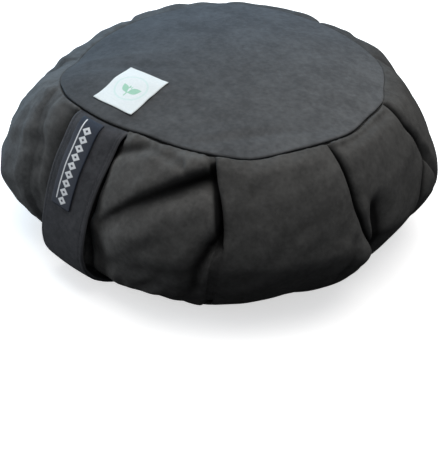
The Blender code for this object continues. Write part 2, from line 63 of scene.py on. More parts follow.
REACH = 0.1500
OVER_RUN = 0.0080
CLOSE_STEPS = (10, 4, 6, 4, 14, 7)
PLAIN_STEPS = (4, 2, 3, 2, 6, 3)
STRAP_WIDTH = 0.0460
STRAP_THICKNESS = 0.0024
LABEL_WIDTH = 0.0200
LABEL_OFFSET = -0.0040
LABEL_LENGTH = 0.0660
LABEL_START = 0.0035
LABEL_THICKNESS = 0.0007
LABEL_LIFT = 0.0011
PATCH_WIDTH = 0.0380
PATCH_LENGTH = 0.0465
PATCH_NEAR_LEFT = (-0.0252, -0.1066)
PATCH_FAR_LEFT = (-0.0367, -0.0612)
PATCH_FAR_RIGHT = (0.0016, -0.0590)
PATCH_NEAR_RIGHT = (0.0117, -0.1035)
# tint of the painted cool light that the cloths take towards -X
PAINTED_COOL_LIGHT_TINT = (0.87, 0.98, 1.11)
CAMERA_LENS = 102.12
CAMERA_PLACE = (0.60167, -0.62741, 0.56431)
CAMERA_TURN = (56.15747, -2.93183, 45.52302)

# Unevenness round the cushion: how far the top seam, the belly and the foot stand off the mean sizes. The
# steps between the rows are rounded off over RING_SPREAD degrees.
RING_SPREAD = 2.3
RING_COLUMNS = ("angle", "seam_out", "seam_up", "belly_out", "belly_up", "foot_out")
RING = (
    (-60.0, -0.0045, -0.0150, 0.0000, -0.0090, 0.0040),
    (-44.0, -0.0015, -0.0075, 0.0030, -0.0125, 0.0095),
    (-30.0, 0.0020, -0.0005, 0.0045, -0.0070, 0.0095),
    (-20.0, 0.0025, 0.0000, -0.0065, 0.0000, 0.0045),
    (-8.0, -0.0015, 0.0005, -0.0170, 0.0000, 0.0020),
    (8.0, -0.0045, 0.0005, -0.0170, -0.0005, 0.0040),
    (18.0, -0.0065, 0.0010, -0.0090, -0.0005, 0.0042),
    (30.0, -0.0025, 0.0000, -0.0025, -0.0005, 0.0025),
    (42.0, 0.0020, 0.0000, 0.0010, -0.0010, 0.0085),
    (53.0, 0.0060, -0.0010, 0.0005, 0.0005, 0.0045),
    (67.0, 0.0010, 0.0005, -0.0010, 0.0025, -0.0050),
    (79.0, 0.0005, 0.0010, 0.0005, 0.0010, 0.0030),
    (86.0, 0.0008, 0.0005, -0.0010, -0.0010, 0.0050),
    (92.0, 0.0006, 0.0000, -0.0060, 0.0010, -0.0020),
    (104.0, -0.0032, -0.0005, -0.0055, 0.0000, -0.0110),
    (116.5, -0.0005, 0.0000, -0.0015, -0.0020, -0.0120),
    (130.0, -0.0030, -0.0020, 0.0042, -0.0105, 0.0000),
    (150.0, 0.0035, -0.0050, -0.0030, -0.0030, 0.0000),
    (187.0, -0.0005, -0.0005, -0.0010, 0.0000, 0.0000),
    (225.0, -0.0005, 0.0010, 0.0015, 0.0005, 0.0000),
    (263.0, -0.0040, -0.0070, -0.0010, -0.0025, 0.0000),
)

# Knife pleats, in order round the side. side is 1 where the panel at the higher angle lies on top and -1
# where it goes under. roll is the run over which the cloth underneath rolls in, then come the depth of
# the tuck, the gap inside it and the thickness of the folded lip. fine is 2 for the closely made ones.
# Columns: side, roll, tuck, gap, lip, fine.
PLEATS = (
    (1, 0.0200, 0.0030, 0.0008, 0.0026, 1),
    (1, 0.0090, 0.0060, 0.0012, 0.0034, 1),
    (1, 0.0100, 0.0085, 0.0026, 0.0056, 2),
    (-1, 0.0070, 0.0085, 0.0020, 0.0046, 2),
    (-1, 0.0105, 0.0085, 0.0026, 0.0048, 2),
    (-1, 0.0090, 0.0070, 0.0012, 0.0036, 1),
    (-1, 0.0090, 0.0070, 0.0012, 0.0036, 1),
    (-1, 0.0090, 0.0070, 0.0012, 0.0036, 1),
    (1, 0.0110, 0.0060, 0.0012, 0.0032, 1),
    (1, 0.0140, 0.0050, 0.0010, 0.0030, 1),
)

# Course of each pleat down the side: pleat, drop, angle, and how far it stands open there, where 1 gives
# it the sizes that it has in PLEATS.
COURSES = (
    (0, 0.000, -21.6, 0.00), (0, 0.012, -21.6, 0.15), (0, 0.028, -20.6, 0.25), (0, 0.036, -18.6, 0.25),
    (0, 0.046, -16.6, 0.20), (0, 0.090, -15.0, 0.15), (0, 0.157, -15.0, 0.00),
    (1, 0.000, 8.0, 0.00), (1, 0.010, 8.2, 1.00), (1, 0.045, 8.8, 1.00), (1, 0.065, 8.0, 1.00),
    (1, 0.085, 6.4, 0.90), (1, 0.110, 6.0, 0.60), (1, 0.140, 7.5, 0.50), (1, 0.157, 8.0, 0.00),
    (2, 0.000, 42.0, 0.20), (2, 0.009, 42.6, 0.26), (2, 0.017, 43.3, 0.42), (2, 0.028, 44.5, 0.65),
    (2, 0.039, 45.4, 1.15), (2, 0.050, 45.8, 1.35), (2, 0.056, 46.0, 1.15), (2, 0.062, 46.0, 0.50),
    (2, 0.068, 45.6, 0.18), (2, 0.078, 44.8, 0.10), (2, 0.110, 44.2, 0.10), (2, 0.130, 43.8, 0.20),
    (2, 0.144, 43.8, 1.00), (2, 0.157, 43.8, 0.00),
    (3, 0.000, 79.4, 0.25), (3, 0.007, 79.9, 0.85), (3, 0.020, 80.6, 1.00), (3, 0.038, 81.2, 1.10),
    (3, 0.057, 82.1, 1.10), (3, 0.070, 83.3, 1.00), (3, 0.078, 84.6, 0.95), (3, 0.087, 86.8, 0.85),
    (3, 0.105, 89.5, 0.70), (3, 0.135, 91.0, 0.45), (3, 0.157, 91.0, 0.00),
    (4, 0.000, 116.8, 0.45), (4, 0.005, 116.2, 0.90), (4, 0.013, 115.2, 1.00), (4, 0.022, 115.2, 1.10),
    (4, 0.031, 116.8, 1.25), (4, 0.042, 118.6, 1.30), (4, 0.052, 119.0, 1.20), (4, 0.060, 117.4, 1.10),
    (4, 0.068, 115.0, 1.00), (4, 0.076, 113.2, 0.90), (4, 0.088, 111.8, 0.80), (4, 0.110, 111.6, 0.60),
    (4, 0.157, 112.0, 0.00),
    (5, 0.000, 156.0, 0.10), (5, 0.010, 156.0, 0.80), (5, 0.024, 150.0, 0.80), (5, 0.080, 148.0, 0.70),
    (5, 0.157, 149.0, 0.00),
    (6, 0.000, 187.0, 0.00), (6, 0.012, 187.4, 0.85), (6, 0.070, 189.2, 1.00), (6, 0.120, 189.0, 0.80),
    (6, 0.157, 188.0, 0.00),
    (7, 0.000, 225.0, 0.00), (7, 0.009, 225.2, 0.80), (7, 0.050, 226.8, 1.10), (7, 0.110, 227.5, 0.70),
    (7, 0.157, 229.0, 0.00),
    (8, 0.000, 263.0, 0.00), (8, 0.014, 262.4, 0.18), (8, 0.080, 261.0, 0.22), (8, 0.157, 260.0, 0.00),
    (9, 0.000, 300.6, 0.00), (9, 0.010, 300.2, 0.05), (9, 0.060, 299.0, 0.08), (9, 0.157, 301.0, 0.00),
)

# Folds and hollows of single panels; panel n lies between pleat n and pleat n + 1, counted from nought.
# Each runs from (angle, drop) a to b with a bow. depth is at both ends, near and far are the widths on
# its right-hand and left-hand side, looking along the run from outside. rim_near and rim_far are the
# heights of the ridges beside it as shares of the depth. lean slides the near ridge over the trough.
# lead and tail are the runs over which it fades in and out, and shade is the strength of the painted shade
# deep down.
# Columns: panel, angle a, drop a, angle b, drop b, bow, depth a, depth b, near, far, rim near, rim far,
# lean, lead, tail, shade.
CREASES = (
    # hollow behind the strap
    (0, -6.0, 0.01, -4.0, 0.08, 0.0, 0.009, 0.009, 0.02, 0.032, 0.0, 0.0, 0.0, 0.01, 0.045, 1.0),
    (1, 8.0, 0.008, 6.5, 0.056, 0.0, 0.008, 0.003, 0.013, 0.0095, 0.0, 0.0, 0.0, 0.008, 0.03, 1.0),
    # swell of the low edge behind the strap's end
    (0, 0.0, 0.121, 8.0, 0.121, 0.0, -0.008, -0.008, 0.012, 0.017, 0.0, 0.0, 0.0, 0.02, 0.01, 0.0),
    (1, 9.0, 0.12, 19.0, 0.122, 0.0, -0.008, -0.001, 0.011, 0.017, 0.0, 0.0, 0.0, 0.01, 0.012, 0.0),
    # deep drag fold running down towards the strap, and the swell under it
    (1, 43.8, 0.0098, 12.0, 0.0724, 0.0046, 0.014, 0.002, 0.0036, 0.012, 0.3, 0.12, 0.004, 0.006, 0.01, 1.2),
    (1, 40.0, 0.032, 18.0, 0.08, 0.003, -0.0022, -0.0016, 0.008, 0.01, 0.0, 0.0, 0.0, 0.014, 0.02, 0.0),
    # trough that carries the middle pleat on, down and to the left
    (1, 46.4, 0.054, 43.6, 0.064, 0.0, 0.01, 0.009, 0.0046, 0.0042, 0.1, 0.1, 0.0, 0.008, 0.011, 1.1),
    (1, 42.0, 0.071, 39.2, 0.098, 0.0015, 0.0088, 0.005, 0.0046, 0.0042, 0.12, 0.12, 0.0, 0.011, 0.03, 1.0),
    # dimples just under the top seam
    (1, 33.0, 0.0125, 21.5, 0.0095, 0.0, 0.0028, 0.0014, 0.003, 0.004, 0.3, 0.2, 0.0, 0.004, 0.006, 0.3),
    (1, 18.0, 0.012, 8.5, 0.023, 0.0, 0.003, 0.0028, 0.005, 0.0064, 0.2, 0.2, 0.0, 0.014, 0.012, 0.8),
    # low bump beside the strap's end
    (1, 17.0, 0.12, 32.0, 0.126, 0.0, -0.003, -0.002, 0.022, 0.018, 0.0, 0.0, 0.0, 0.012, 0.02, 0.0),
    # soft edge at the foot of the front panel, by the slit
    (2, 80.0, 0.076, 78.5, 0.105, 0.0, 0.0024, 0.002, 0.004, 0.004, 0.2, 0.4, 0.0, 0.01, 0.02, 0.2),
    # broad swells of the front panel
    (2, 53.0, 0.03, 50.0, 0.06, 0.0, 0.0008, 0.0008, 0.012, 0.012, 0.3, 0.3, 0.0, 0.02, 0.02, 0.0),
    (2, 52.0, 0.06, 47.0, 0.076, 0.0, 0.001, 0.0008, 0.004, 0.006, 0.3, 0.3, 0.0, 0.01, 0.01, 0.1),
    # swell of the front panel's low corner
    (2, 84.0, 0.088, 83.0, 0.101, 0.0, -0.0045, -0.0015, 0.015, 0.014, 0.0, 0.0, 0.0, 0.016, 0.012, 0.0),
    # roll of cloth under the seam, right of the slit, the hollow beside it, a dent by the far right pleat
    (3, 82.5, 0.0068, 112.0, 0.0066, 0.0, 0.001, 0.0014, 0.004, 0.0022, 0.1, 0.6, 0.0, 0.006, 0.008, 0.1),
    (3, 88.0, 0.064, 88.8, 0.086, 0.0, 0.008, 0.0068, 0.0036, 0.014, 0.1, 0.06, 0.0, 0.02, 0.034, 2.2),
    (4, 121.0, 0.052, 124.5, 0.076, 0.0, 0.006, 0.003, 0.003, 0.004, 0.1, 0.2, 0.0, 0.01, 0.012, 0.9),
    # folds of the left-hand panels
    (9, -29.0, 0.02, -27.8, 0.07, 0.0, 0.0014, 0.0018, 0.005, 0.008, 0.2, 0.2, 0.0, 0.014, 0.03, 0.1),
    (0, -16.0, 0.0095, -12.5, 0.019, 0.0, 0.001, 0.0006, 0.004, 0.005, 0.2, 0.2, 0.0, 0.006, 0.01, 0.1),
    # folds at the back
    (5, 171.0, 0.02, 163.0, 0.08, 0.004, 0.004, 0.003, 0.007, 0.011, 0.3, 0.2, 0.0, 0.015, 0.03, 0.2),
    (7, 236.0, 0.025, 250.0, 0.08, 0.005, 0.0045, 0.003, 0.008, 0.012, 0.3, 0.2, 0.0, 0.015, 0.03, 0.2),
    (8, 281.0, 0.02, 286.0, 0.09, 0.004, 0.002, 0.002, 0.01, 0.011, 0.25, 0.15, 0.0, 0.02, 0.03, 0.1),
)

# How many columns each panel takes between its pleats, and how far it swells.
PANEL_STEPS = (24, 96, 60, 56, 36, 20, 18, 18, 18, 26)
PANEL_SWELL = (0.0034, 0.0042, 0.0042, 0.0042, 0.0038, 0.0042, 0.0042, 0.0040, 0.0026, 0.0024)

# Soft waves of the top cloth: middle angle, share out from the centre, direction, length, width, height.
TOP_WAVES = (
    (50.0, 0.86, 62.0, 0.040, 0.0050, -0.0014),
    (43.0, 0.84, 66.0, 0.036, 0.0060, 0.0008),
    (-12.0, 0.60, 20.0, 0.045, 0.0100, 0.0016),
    (-38.0, 0.72, 40.0, 0.060, 0.0070, -0.0014),
    (-50.0, 0.80, 46.0, 0.060, 0.0060, 0.0012),
    (-70.0, 0.80, 30.0, 0.060, 0.0080, -0.0012),
    (82.0, 0.92, 0.0, 0.040, 0.0070, -0.0010),
    (110.0, 0.90, 20.0, 0.040, 0.0080, 0.0008),
    (20.0, 0.55, 80.0, 0.070, 0.0160, -0.0008),
    (170.0, 0.60, 60.0, 0.080, 0.0200, 0.0008),
    (240.0, 0.70, 10.0, 0.070, 0.0160, -0.0008),
)

# Course of the strap's outer face down its middle: distance out from the cushion's axis and height.
STRAP_LINE = (
    (0.1196, 0.1228),
    (0.1220, 0.1236),
    (0.1276, 0.1200),
    (0.1366, 0.1058),
    (0.1444, 0.0938),
    (0.1508, 0.0790),
    (0.1550, 0.0655),
    (0.1580, 0.0490),
    (0.1590, 0.0370),
    (0.1565, 0.0240),
    (0.1490, 0.0125),
    (0.1395, 0.0062),
    (0.1325, 0.0030),
    (0.1278, 0.0012),
)


# ------------------------------------------------------------------ shape of the cushion
def ease(x):
    """Smooth step from 0 to 1: 3 x squared less 2 x cubed."""
    x = np.clip(x, 0.0, 1.0)
    return x * x * (3.0 - 2.0 * x)


def ring_tables():
    """RING on one-degree steps: straight between the rows, then rounded off by a bell curve."""
    rows = np.array(RING)
    steps = np.arange(360.0)
    bell = np.exp(-0.5 * (np.minimum(steps, 360.0 - steps) / RING_SPREAD) ** 2)
    bell = bell / bell.sum()
    tables = {}
    for index, name in enumerate(RING_COLUMNS[1:], start=1):
        raw = np.interp(steps, rows[:, 0], rows[:, index], period=360.0)
        tables[name] = np.real(np.fft.ifft(np.fft.fft(raw) * np.fft.fft(bell)))
    return tables


RING_TABLES = ring_tables()


def ring_value(name, angle):
    """Value of one ring table at an angle, straight between the one-degree steps."""
    return np.interp(angle, np.arange(360.0), RING_TABLES[name], period=360.0)


def side_profile(turn, seam_out, seam_up, belly_out, belly_up, foot_out):
    """The side in section: two quarter super-ellipses, from seam to belly and from belly to foot.
    turn is 0 at the top seam, 1 at the belly and 2 at the foot."""
    upper = np.clip(turn, 0.0, 1.0) * math.pi / 2
    lower = np.clip(turn - 1.0, 0.0, 1.0) * math.pi / 2
    r_up = seam_out + (belly_out - seam_out) * np.abs(np.sin(upper)) ** (2 / UPPER_FULLNESS)
    z_up = belly_up + (seam_up - belly_up) * np.abs(np.cos(upper)) ** (2 / UPPER_FULLNESS)
    r_low = foot_out + (belly_out - foot_out) * np.abs(np.cos(lower)) ** (2 / LOWER_FULLNESS)
    z_low = belly_up - (belly_up - FOOT_HEIGHT) * np.abs(np.sin(lower)) ** (2 / LOWER_FULLNESS)
    above = turn <= 1.0
    return np.where(above, r_up, r_low), np.where(above, z_up, z_low)


def run_table(steps=900):
    """Turn against the share of the run down the mean section, and the length of that run."""
    turn = np.linspace(0.0, 2.0, steps)
    r, z = side_profile(turn, SEAM_RADIUS, SEAM_HEIGHT, BELLY_RADIUS, BELLY_HEIGHT, FOOT_RADIUS)
    run = np.concatenate([[0.0], np.cumsum(np.hypot(np.diff(r), np.diff(z)))])
    return run / run[-1], turn, run[-1]


RUN_SHARE, RUN_TURN, SIDE_RUN = run_table()


def side_point(angle, share, out):
    """Point of the side at an angle and a share of the way down from the top seam, moved by out along
    the outward normal of the section. Its edge sits a hair inside and below the top cloth's rim."""
    inside, below = 0.0001, 0.0002
    turn = np.interp(share, RUN_SHARE, RUN_TURN)
    ring = (SEAM_RADIUS - inside + ring_value("seam_out", angle),
            SEAM_HEIGHT - below + ring_value("seam_up", angle),
            BELLY_RADIUS + ring_value("belly_out", angle),
            BELLY_HEIGHT + ring_value("belly_up", angle),
            FOOT_RADIUS + ring_value("foot_out", angle))
    nudge = 0.004
    r, z = side_profile(turn, *ring)
    r_next, z_next = side_profile(np.clip(turn + nudge, 0.0, 2.0), *ring)
    r_last, z_last = side_profile(np.clip(turn - nudge, 0.0, 2.0), *ring)
    length = np.hypot(r_next - r_last, z_next - z_last)
    r = r - (z_next - z_last) / length * out
    z = z + (r_next - r_last) / length * out
    z = np.maximum(z, FOOT_HEIGHT)
    a = np.radians(angle)
    return np.stack([r * np.sin(a), -r * np.cos(a), z], -1)


def course_of(index, share):
    """Angle and opening of a pleat at shares of the way down: its table, straight between the rows, then
    rounded off by a bell curve of spread times the run."""
    step, spread = 0.001, 0.020
    rows = np.array([row[1:] for row in COURSES if row[0] == index])
    fine = np.linspace(-0.2, 1.2, 1401)
    bell = np.exp(-0.5 * (np.arange(-90, 91) * step / spread) ** 2)
    bell = bell / bell.sum()
    found = []
    for column in (1, 2):
        raw = np.interp(fine * SIDE_RUN, rows[:, 0], rows[:, column])
        found.append(np.interp(share, fine, np.convolve(raw, bell, "same")))
    return found


def crease_field(panel, angle, share):
    """Folds and hollows of one panel. Each is a bell-shaped trough across a bowed line, wider on one side
    than the other, with a low ridge on either side. Comes back as the push along the outward normal,
    the slides round the side and up it, and the painted shade deep in the fold. It dies away at both seams."""
    shape = np.broadcast(angle, share).shape
    push, slide_x, slide_y, shade = (np.zeros(shape) for _ in range(4))
    for row in CREASES:
        if row[0] != panel:
            continue
        angle_a, drop_a, angle_b, drop_b, bow, depth_a, depth_b = row[1:8]
        near, far, rim_near, rim_far, lean, lead, tail, painted_shade_strength = row[8:]
        x = np.radians((angle - angle_a + 180.0) % 360.0 - 180.0) * REACH
        y = drop_a - share * SIDE_RUN
        end_x = math.radians((angle_b - angle_a + 180.0) % 360.0 - 180.0) * REACH
        end_y = drop_a - drop_b
        length = math.hypot(end_x, end_y)
        along = (x * end_x + y * end_y) / length ** 2
        across = (x * end_y - y * end_x) / length
        inside = np.clip(along, -0.2, 1.2)
        across = across - bow * 4.0 * inside * (1.0 - inside)
        depth = depth_a + (depth_b - depth_a) * np.clip(along, 0.0, 1.0)
        fade = ease((along * length + lead) / lead) * ease(((1.0 - along) * length + tail) / tail)
        width = np.where(across > 0.0, near, far)
        trough = np.exp(-np.abs(across / width) ** 1.8)
        crest = rim_near * np.exp(-((across - 2.6 * near) / (2.0 * near)) ** 2)
        crest = crest + rim_far * np.exp(-((across + 1.8 * far) / (1.2 * far)) ** 2)
        push = push + fade * depth * (crest - trough)
        strength = depth / max(abs(depth_a), abs(depth_b))
        pull = lean * fade * strength * np.exp(-((across - 1.6 * near) / (1.5 * near)) ** 2)
        slide_x = slide_x - pull * end_y / length
        slide_y = slide_y + pull * end_x / length
        # painted shade: deep in the trough the colour is painted towards black, by the fold's shade column
        narrow = np.where(across > 0.0, near, 0.55 * far)
        deep = painted_shade_strength * fade * np.clip(strength, 0.0, 1.0) * np.exp(-np.abs(across / narrow) ** 2.4)
        shade = np.maximum(shade, np.minimum(deep, 1.0))
    ends = ease(share / 0.05) * ease((1.0 - share) / 0.08)
    return push * ends, slide_x * ends, slide_y * ends, shade * ends


def waver(angle, share):
    """Small unevenness of stuffed cloth: a sum of waves of seeded angles and directions, each about a
    third of a millimetre or less, and short puckers that die away within 15 mm of the top seam."""
    waves, puckers = 46, 18
    pucker_size, pucker_run = 0.00007, 0.007
    draw = np.random.default_rng(7)
    total = np.zeros(np.broadcast(angle, share).shape)
    a = np.radians(angle)
    for _ in range(waves):
        round_waves = int(draw.integers(3, 62))
        down_waves = draw.uniform(0.3, 9.0)
        size = 0.0010 / (2.0 + 0.30 * round_waves + 0.5 * down_waves)
        total = total + size * np.sin(round_waves * a + 2 * math.pi * down_waves * share
                                      + draw.uniform(0, 2 * math.pi))
    pucker = np.zeros(np.shape(a))
    for _ in range(puckers):
        pucker = pucker + np.sin(int(draw.integers(40, 150)) * a + draw.uniform(0, 2 * math.pi))
    total = total + pucker_size * pucker * np.exp(-(share * SIDE_RUN / pucker_run) ** 2)
    return total * ease(share / 0.02) * ease((1.0 - share) / 0.05)


def fold_template(steps):
    """One knife pleat in plan, from the panel underneath to the panel on top.

    The panel underneath rolls in, runs back below the top one, turns round a half circle at the end of
    the tuck, comes forward again and turns over the lip. Each point is a sum of the sizes (roll, tuck,
    gap, lip, over) times the shares held here: one set for the run round the side, one for the height.
    With them come how far a point belongs to the panel underneath, to the panel on top, and how much
    of the panel's swell it takes."""
    n_roll, n_under, n_end, n_mid, n_lip, n_over = steps
    rows = []
    for i in range(n_roll):
        a = 1.0 - i / n_roll
        c = (0.5 + 0.5 * math.cos(math.pi * a)) ** 1.6
        rows.append(((-a, 0, 0, 0, 0), (0, 0, -c, -c, 0), (c, 0.0, 1.0)))
    for i in range(n_under):
        b = i / n_under
        rows.append(((0, b, -0.5 * b, 0, 0), (0, 0, -1, -1, 0), (1.0, 0.0, 0.0)))
    for i in range(n_end + 1):
        t = math.pi * (i / n_end - 0.5)
        share = 0.5 + 0.5 * math.sin(t)
        rows.append(((0, 1, 0.5 * math.cos(t) - 0.5, 0, 0), (0, 0, share - 1.0, -1, 0), (1.0, share, 0.0)))
    for i in range(n_mid):
        e = (i + 1) / (n_mid + 1)
        rows.append(((0, 1 - e, 0.5 * e - 0.5, 0.5 * e, 0), (0, 0, 0, -1, 0), (0.0, 1.0, 0.0)))
    for i in range(n_lip + 1):
        t = math.pi * (i / n_lip - 0.5)
        rise = 0.5 * math.sin(t) - 0.5
        rows.append(((0, 0, 0, 0.5 - 0.5 * math.cos(t), 0), (0, 0, 0, rise, 0),
                     (0.0, 1.0, float(ease(i / n_lip)))))
    for i in range(n_over):
        g = (i + 1) / n_over
        rows.append(((0, 0, 0, 0.5 * (1 - g), g), (0, 0, 0, 0, 0), (0.0, 1.0, 1.0)))
    run = np.array([row[0] for row in rows], float)
    height = np.array([row[1] for row in rows], float)
    belongs = np.array([row[2] for row in rows], float)
    return run, height, belongs[:, 0], belongs[:, 1], belongs[:, 2]


def panel_puff(size, left, right, share):
    """Swell of a panel between its two pleats, dying away at the top seam and at the foot."""
    swell = (1.0 - np.exp(-left / PUFF_RUN)) * (1.0 - np.exp(-right / PUFF_RUN))
    return size * swell * ease(share / 0.10) * ease((1.0 - share) / 0.30)


def seam_show(angle):
    """How plainly the top seam shows: 1 along the front, from the strap round to the right, and next to
    nothing behind."""
    least, first, last = 0.03, -32.0, 119.0
    turn = (angle + 180.0) % 360.0 - 180.0
    return least + (1.0 - least) * ease((turn - first) / 9.0) * ease((last - turn) / 6.0)


def seam_groove(angle, share):
    """Depth of the side cloth below its own line beside the top seam: a narrow bell, wider under the lip
    of the seam near the strap, and a seat that takes the start of the strap."""
    lip_angle, lip_spread = 23.0, 5.0
    seat_depth, seat_radius = 0.0030, 0.128
    seat_half, seat_edge = 0.0262, 0.0030
    seat_drop, seat_end = 0.022, 0.010
    turn = (angle + 180.0) % 360.0 - 180.0
    drop = share * SIDE_RUN
    lip = 0.7 * np.exp(-((turn - lip_angle) / lip_spread) ** 2)
    width = GROOVE_WIDTH * (0.28 + 0.72 * seam_show(angle) + lip)
    groove = SEAM_GROOVE * (0.15 + 0.85 * seam_show(angle)) * np.exp(-(drop / width) ** 2)
    aside = np.abs(np.radians(turn) * seat_radius)
    seat = seat_depth * ease((seat_half - aside) / seat_edge) * ease((seat_drop - drop) / seat_end)
    return groove + seat * ease(1.0 - groove / SEAM_GROOVE)


def moved_point(angle, share, out, slide_x, slide_y):
    """Side point after its slides, the small unevenness and the groove along the seam."""
    out = out + waver(angle, share) - seam_groove(angle, share)
    angle = angle + np.degrees(slide_x / REACH)
    share = np.clip(share - slide_y / SIDE_RUN, 0.0, 1.0)
    return side_point(angle, share, out)


def pleat_fold(index, f, course, hold):
    """Columns of one pleat: its template, scaled by its opening and laid along its course, with the folds
    of the panels on both sides of it. Comes back as points, angles, push and painted shade."""
    shade_start, shade_run = 0.0008, 0.0028
    count = len(PLEATS)
    side, roll, tuck, gap, lip, fine = PLEATS[index]
    run, height, under, over, puff = fold_template(CLOSE_STEPS if fine == 2 else PLAIN_STEPS)
    sizes = np.array([roll, tuck, gap, lip, OVER_RUN])
    line, opening = course
    share_open = hold * opening
    flat = np.linspace(-roll, OVER_RUN, len(run))[None, :]
    blend = np.clip(share_open * 2.0, 0.0, 1.0)
    u = (1 - blend) * flat + blend * (run @ sizes)[None, :]
    d = share_open * (height @ sizes)[None, :]
    order = slice(None) if side > 0 else slice(None, None, -1)
    u = side * u[:, order]
    d = d[:, order]
    angle = line + np.degrees(u / REACH)
    panels = ((index - 1) % count, index) if side > 0 else (index, (index - 1) % count)
    low = crease_field(panels[0], angle, f)
    high = crease_field(panels[1], angle, f)
    owned, share_high, free = (part[order][None, :] for part in (under, over, puff))
    sunk = low[0] - np.maximum(0.0, low[0] - high[0]) * owned
    parts = (sunk, low[1] * (1 - owned), low[2] * (1 - owned), low[3])
    push, slide_x, slide_y, shade = [(1 - share_high) * a + share_high * b for a, b in zip(parts, high)]
    swell = panel_puff(PLEAT_SWELL, np.abs(u) * free, FAR_OFF, f)
    points = moved_point(angle, f, d + push + swell, slide_x, slide_y)
    # painted shade: cloth tucked inside an open pleat, and cloth deep in its fold, is painted nearly black
    hidden = np.clip(share_open * 1.6, 0.0, 1.0) * (1 - free)
    deep = np.maximum(ease((-d - shade_start) / shade_run), hidden)
    return points, angle, d + push, np.maximum(deep, shade)


def panel_middle(index, f, start, stop, course, next_course):
    """Columns of one panel between its two pleats, with its folds and its swell. Comes back as points,
    push and painted shade."""
    steps = PANEL_STEPS[index]
    angle = start + (stop - start) * (np.arange(1, steps) / steps)[None, :]
    left = np.radians((angle - course[0]) % 360.0) * REACH
    right = np.radians((next_course[0] - angle) % 360.0) * REACH
    push, slide_x, slide_y, shade = crease_field(index, angle, f)
    swell = panel_puff(PANEL_SWELL[index], left, right, f)
    return moved_point(angle, f, push + swell, slide_x, slide_y), push, shade


def side_grid(shares):
    """The pleated side as a grid: rows down from the top seam, columns once round. With the points come
    their push along the normal and their painted shade, which is 1 deep inside a pleat or a fold."""
    f = np.asarray(shares)[:, None]
    count = len(PLEATS)
    hold = ease(f / 0.020) * ease((1.0 - f) / 0.06)
    courses = [course_of(index, f) for index in range(count)]
    folds = [pleat_fold(index, f, courses[index], hold) for index in range(count)]
    parts = []
    for index in range(count):
        following = (index + 1) % count
        points, angle, push, shade = folds[index]
        start = angle[:, -1:]
        stop = start + (folds[following][1][:, :1] - start) % 360.0
        parts.append((points, push, shade))
        parts.append(panel_middle(index, f, start, stop, courses[index], courses[following]))
    return [np.concatenate(part, axis=1) for part in zip(*parts)]


def top_wave(x, y):
    """Soft waves of the top cloth: each a bell in its length and its width, turned in the plane. On top
    of them lie straight waves of seeded directions, whose height is a fixed share of their length."""
    total = np.zeros(np.broadcast(x, y).shape)
    for angle, share, turn, length, width, height in TOP_WAVES:
        a = math.radians(angle)
        middle_x = SEAM_RADIUS * share * math.sin(a)
        middle_y = -SEAM_RADIUS * share * math.cos(a)
        t = math.radians(turn)
        along = (x - middle_x) * math.cos(t) + (y - middle_y) * math.sin(t)
        across = -(x - middle_x) * math.sin(t) + (y - middle_y) * math.cos(t)
        total = total + height * np.exp(-(along / length) ** 2 - (across / width) ** 2)
    draw = np.random.default_rng(11)
    for _ in range(26):
        turn, wave = draw.uniform(0, 2 * math.pi), draw.uniform(0.018, 0.090)
        phase = draw.uniform(0, 2 * math.pi)
        travel = x * math.cos(turn) + y * math.sin(turn)
        total = total + 0.00074375 * wave * np.sin(2 * math.pi * travel / wave + phase)
    return total


def crown_point(angle, share, drop=0.0):
    """Point of the top cloth's upper face at an angle and a share of the way out from its centre, or
    drop below it: a low dome with soft waves that rolls over through a quarter circle at its rim."""
    rim_run = 0.010
    r = (SEAM_RADIUS - CLEARANCE - 0.0006 * seam_show(angle) + ring_value("seam_out", angle)) * share
    a = np.radians(angle)
    x, y = r * np.sin(a), -r * np.cos(a)
    z = SEAM_HEIGHT + CROWN * (1.0 - share ** 2.2) + ring_value("seam_up", angle) * share ** 3 - drop
    z = z + top_wave(x, y) * ease((1.0 - share) / 0.10)
    roll = np.clip((share - (1.0 - rim_run)) / rim_run, 0.0, 1.0)
    z = z - (0.0003 + 0.0007 * seam_show(angle)) * (1.0 - np.sqrt(np.maximum(0.0, 1.0 - roll ** 2)))
    return np.stack([x, y, z], -1)


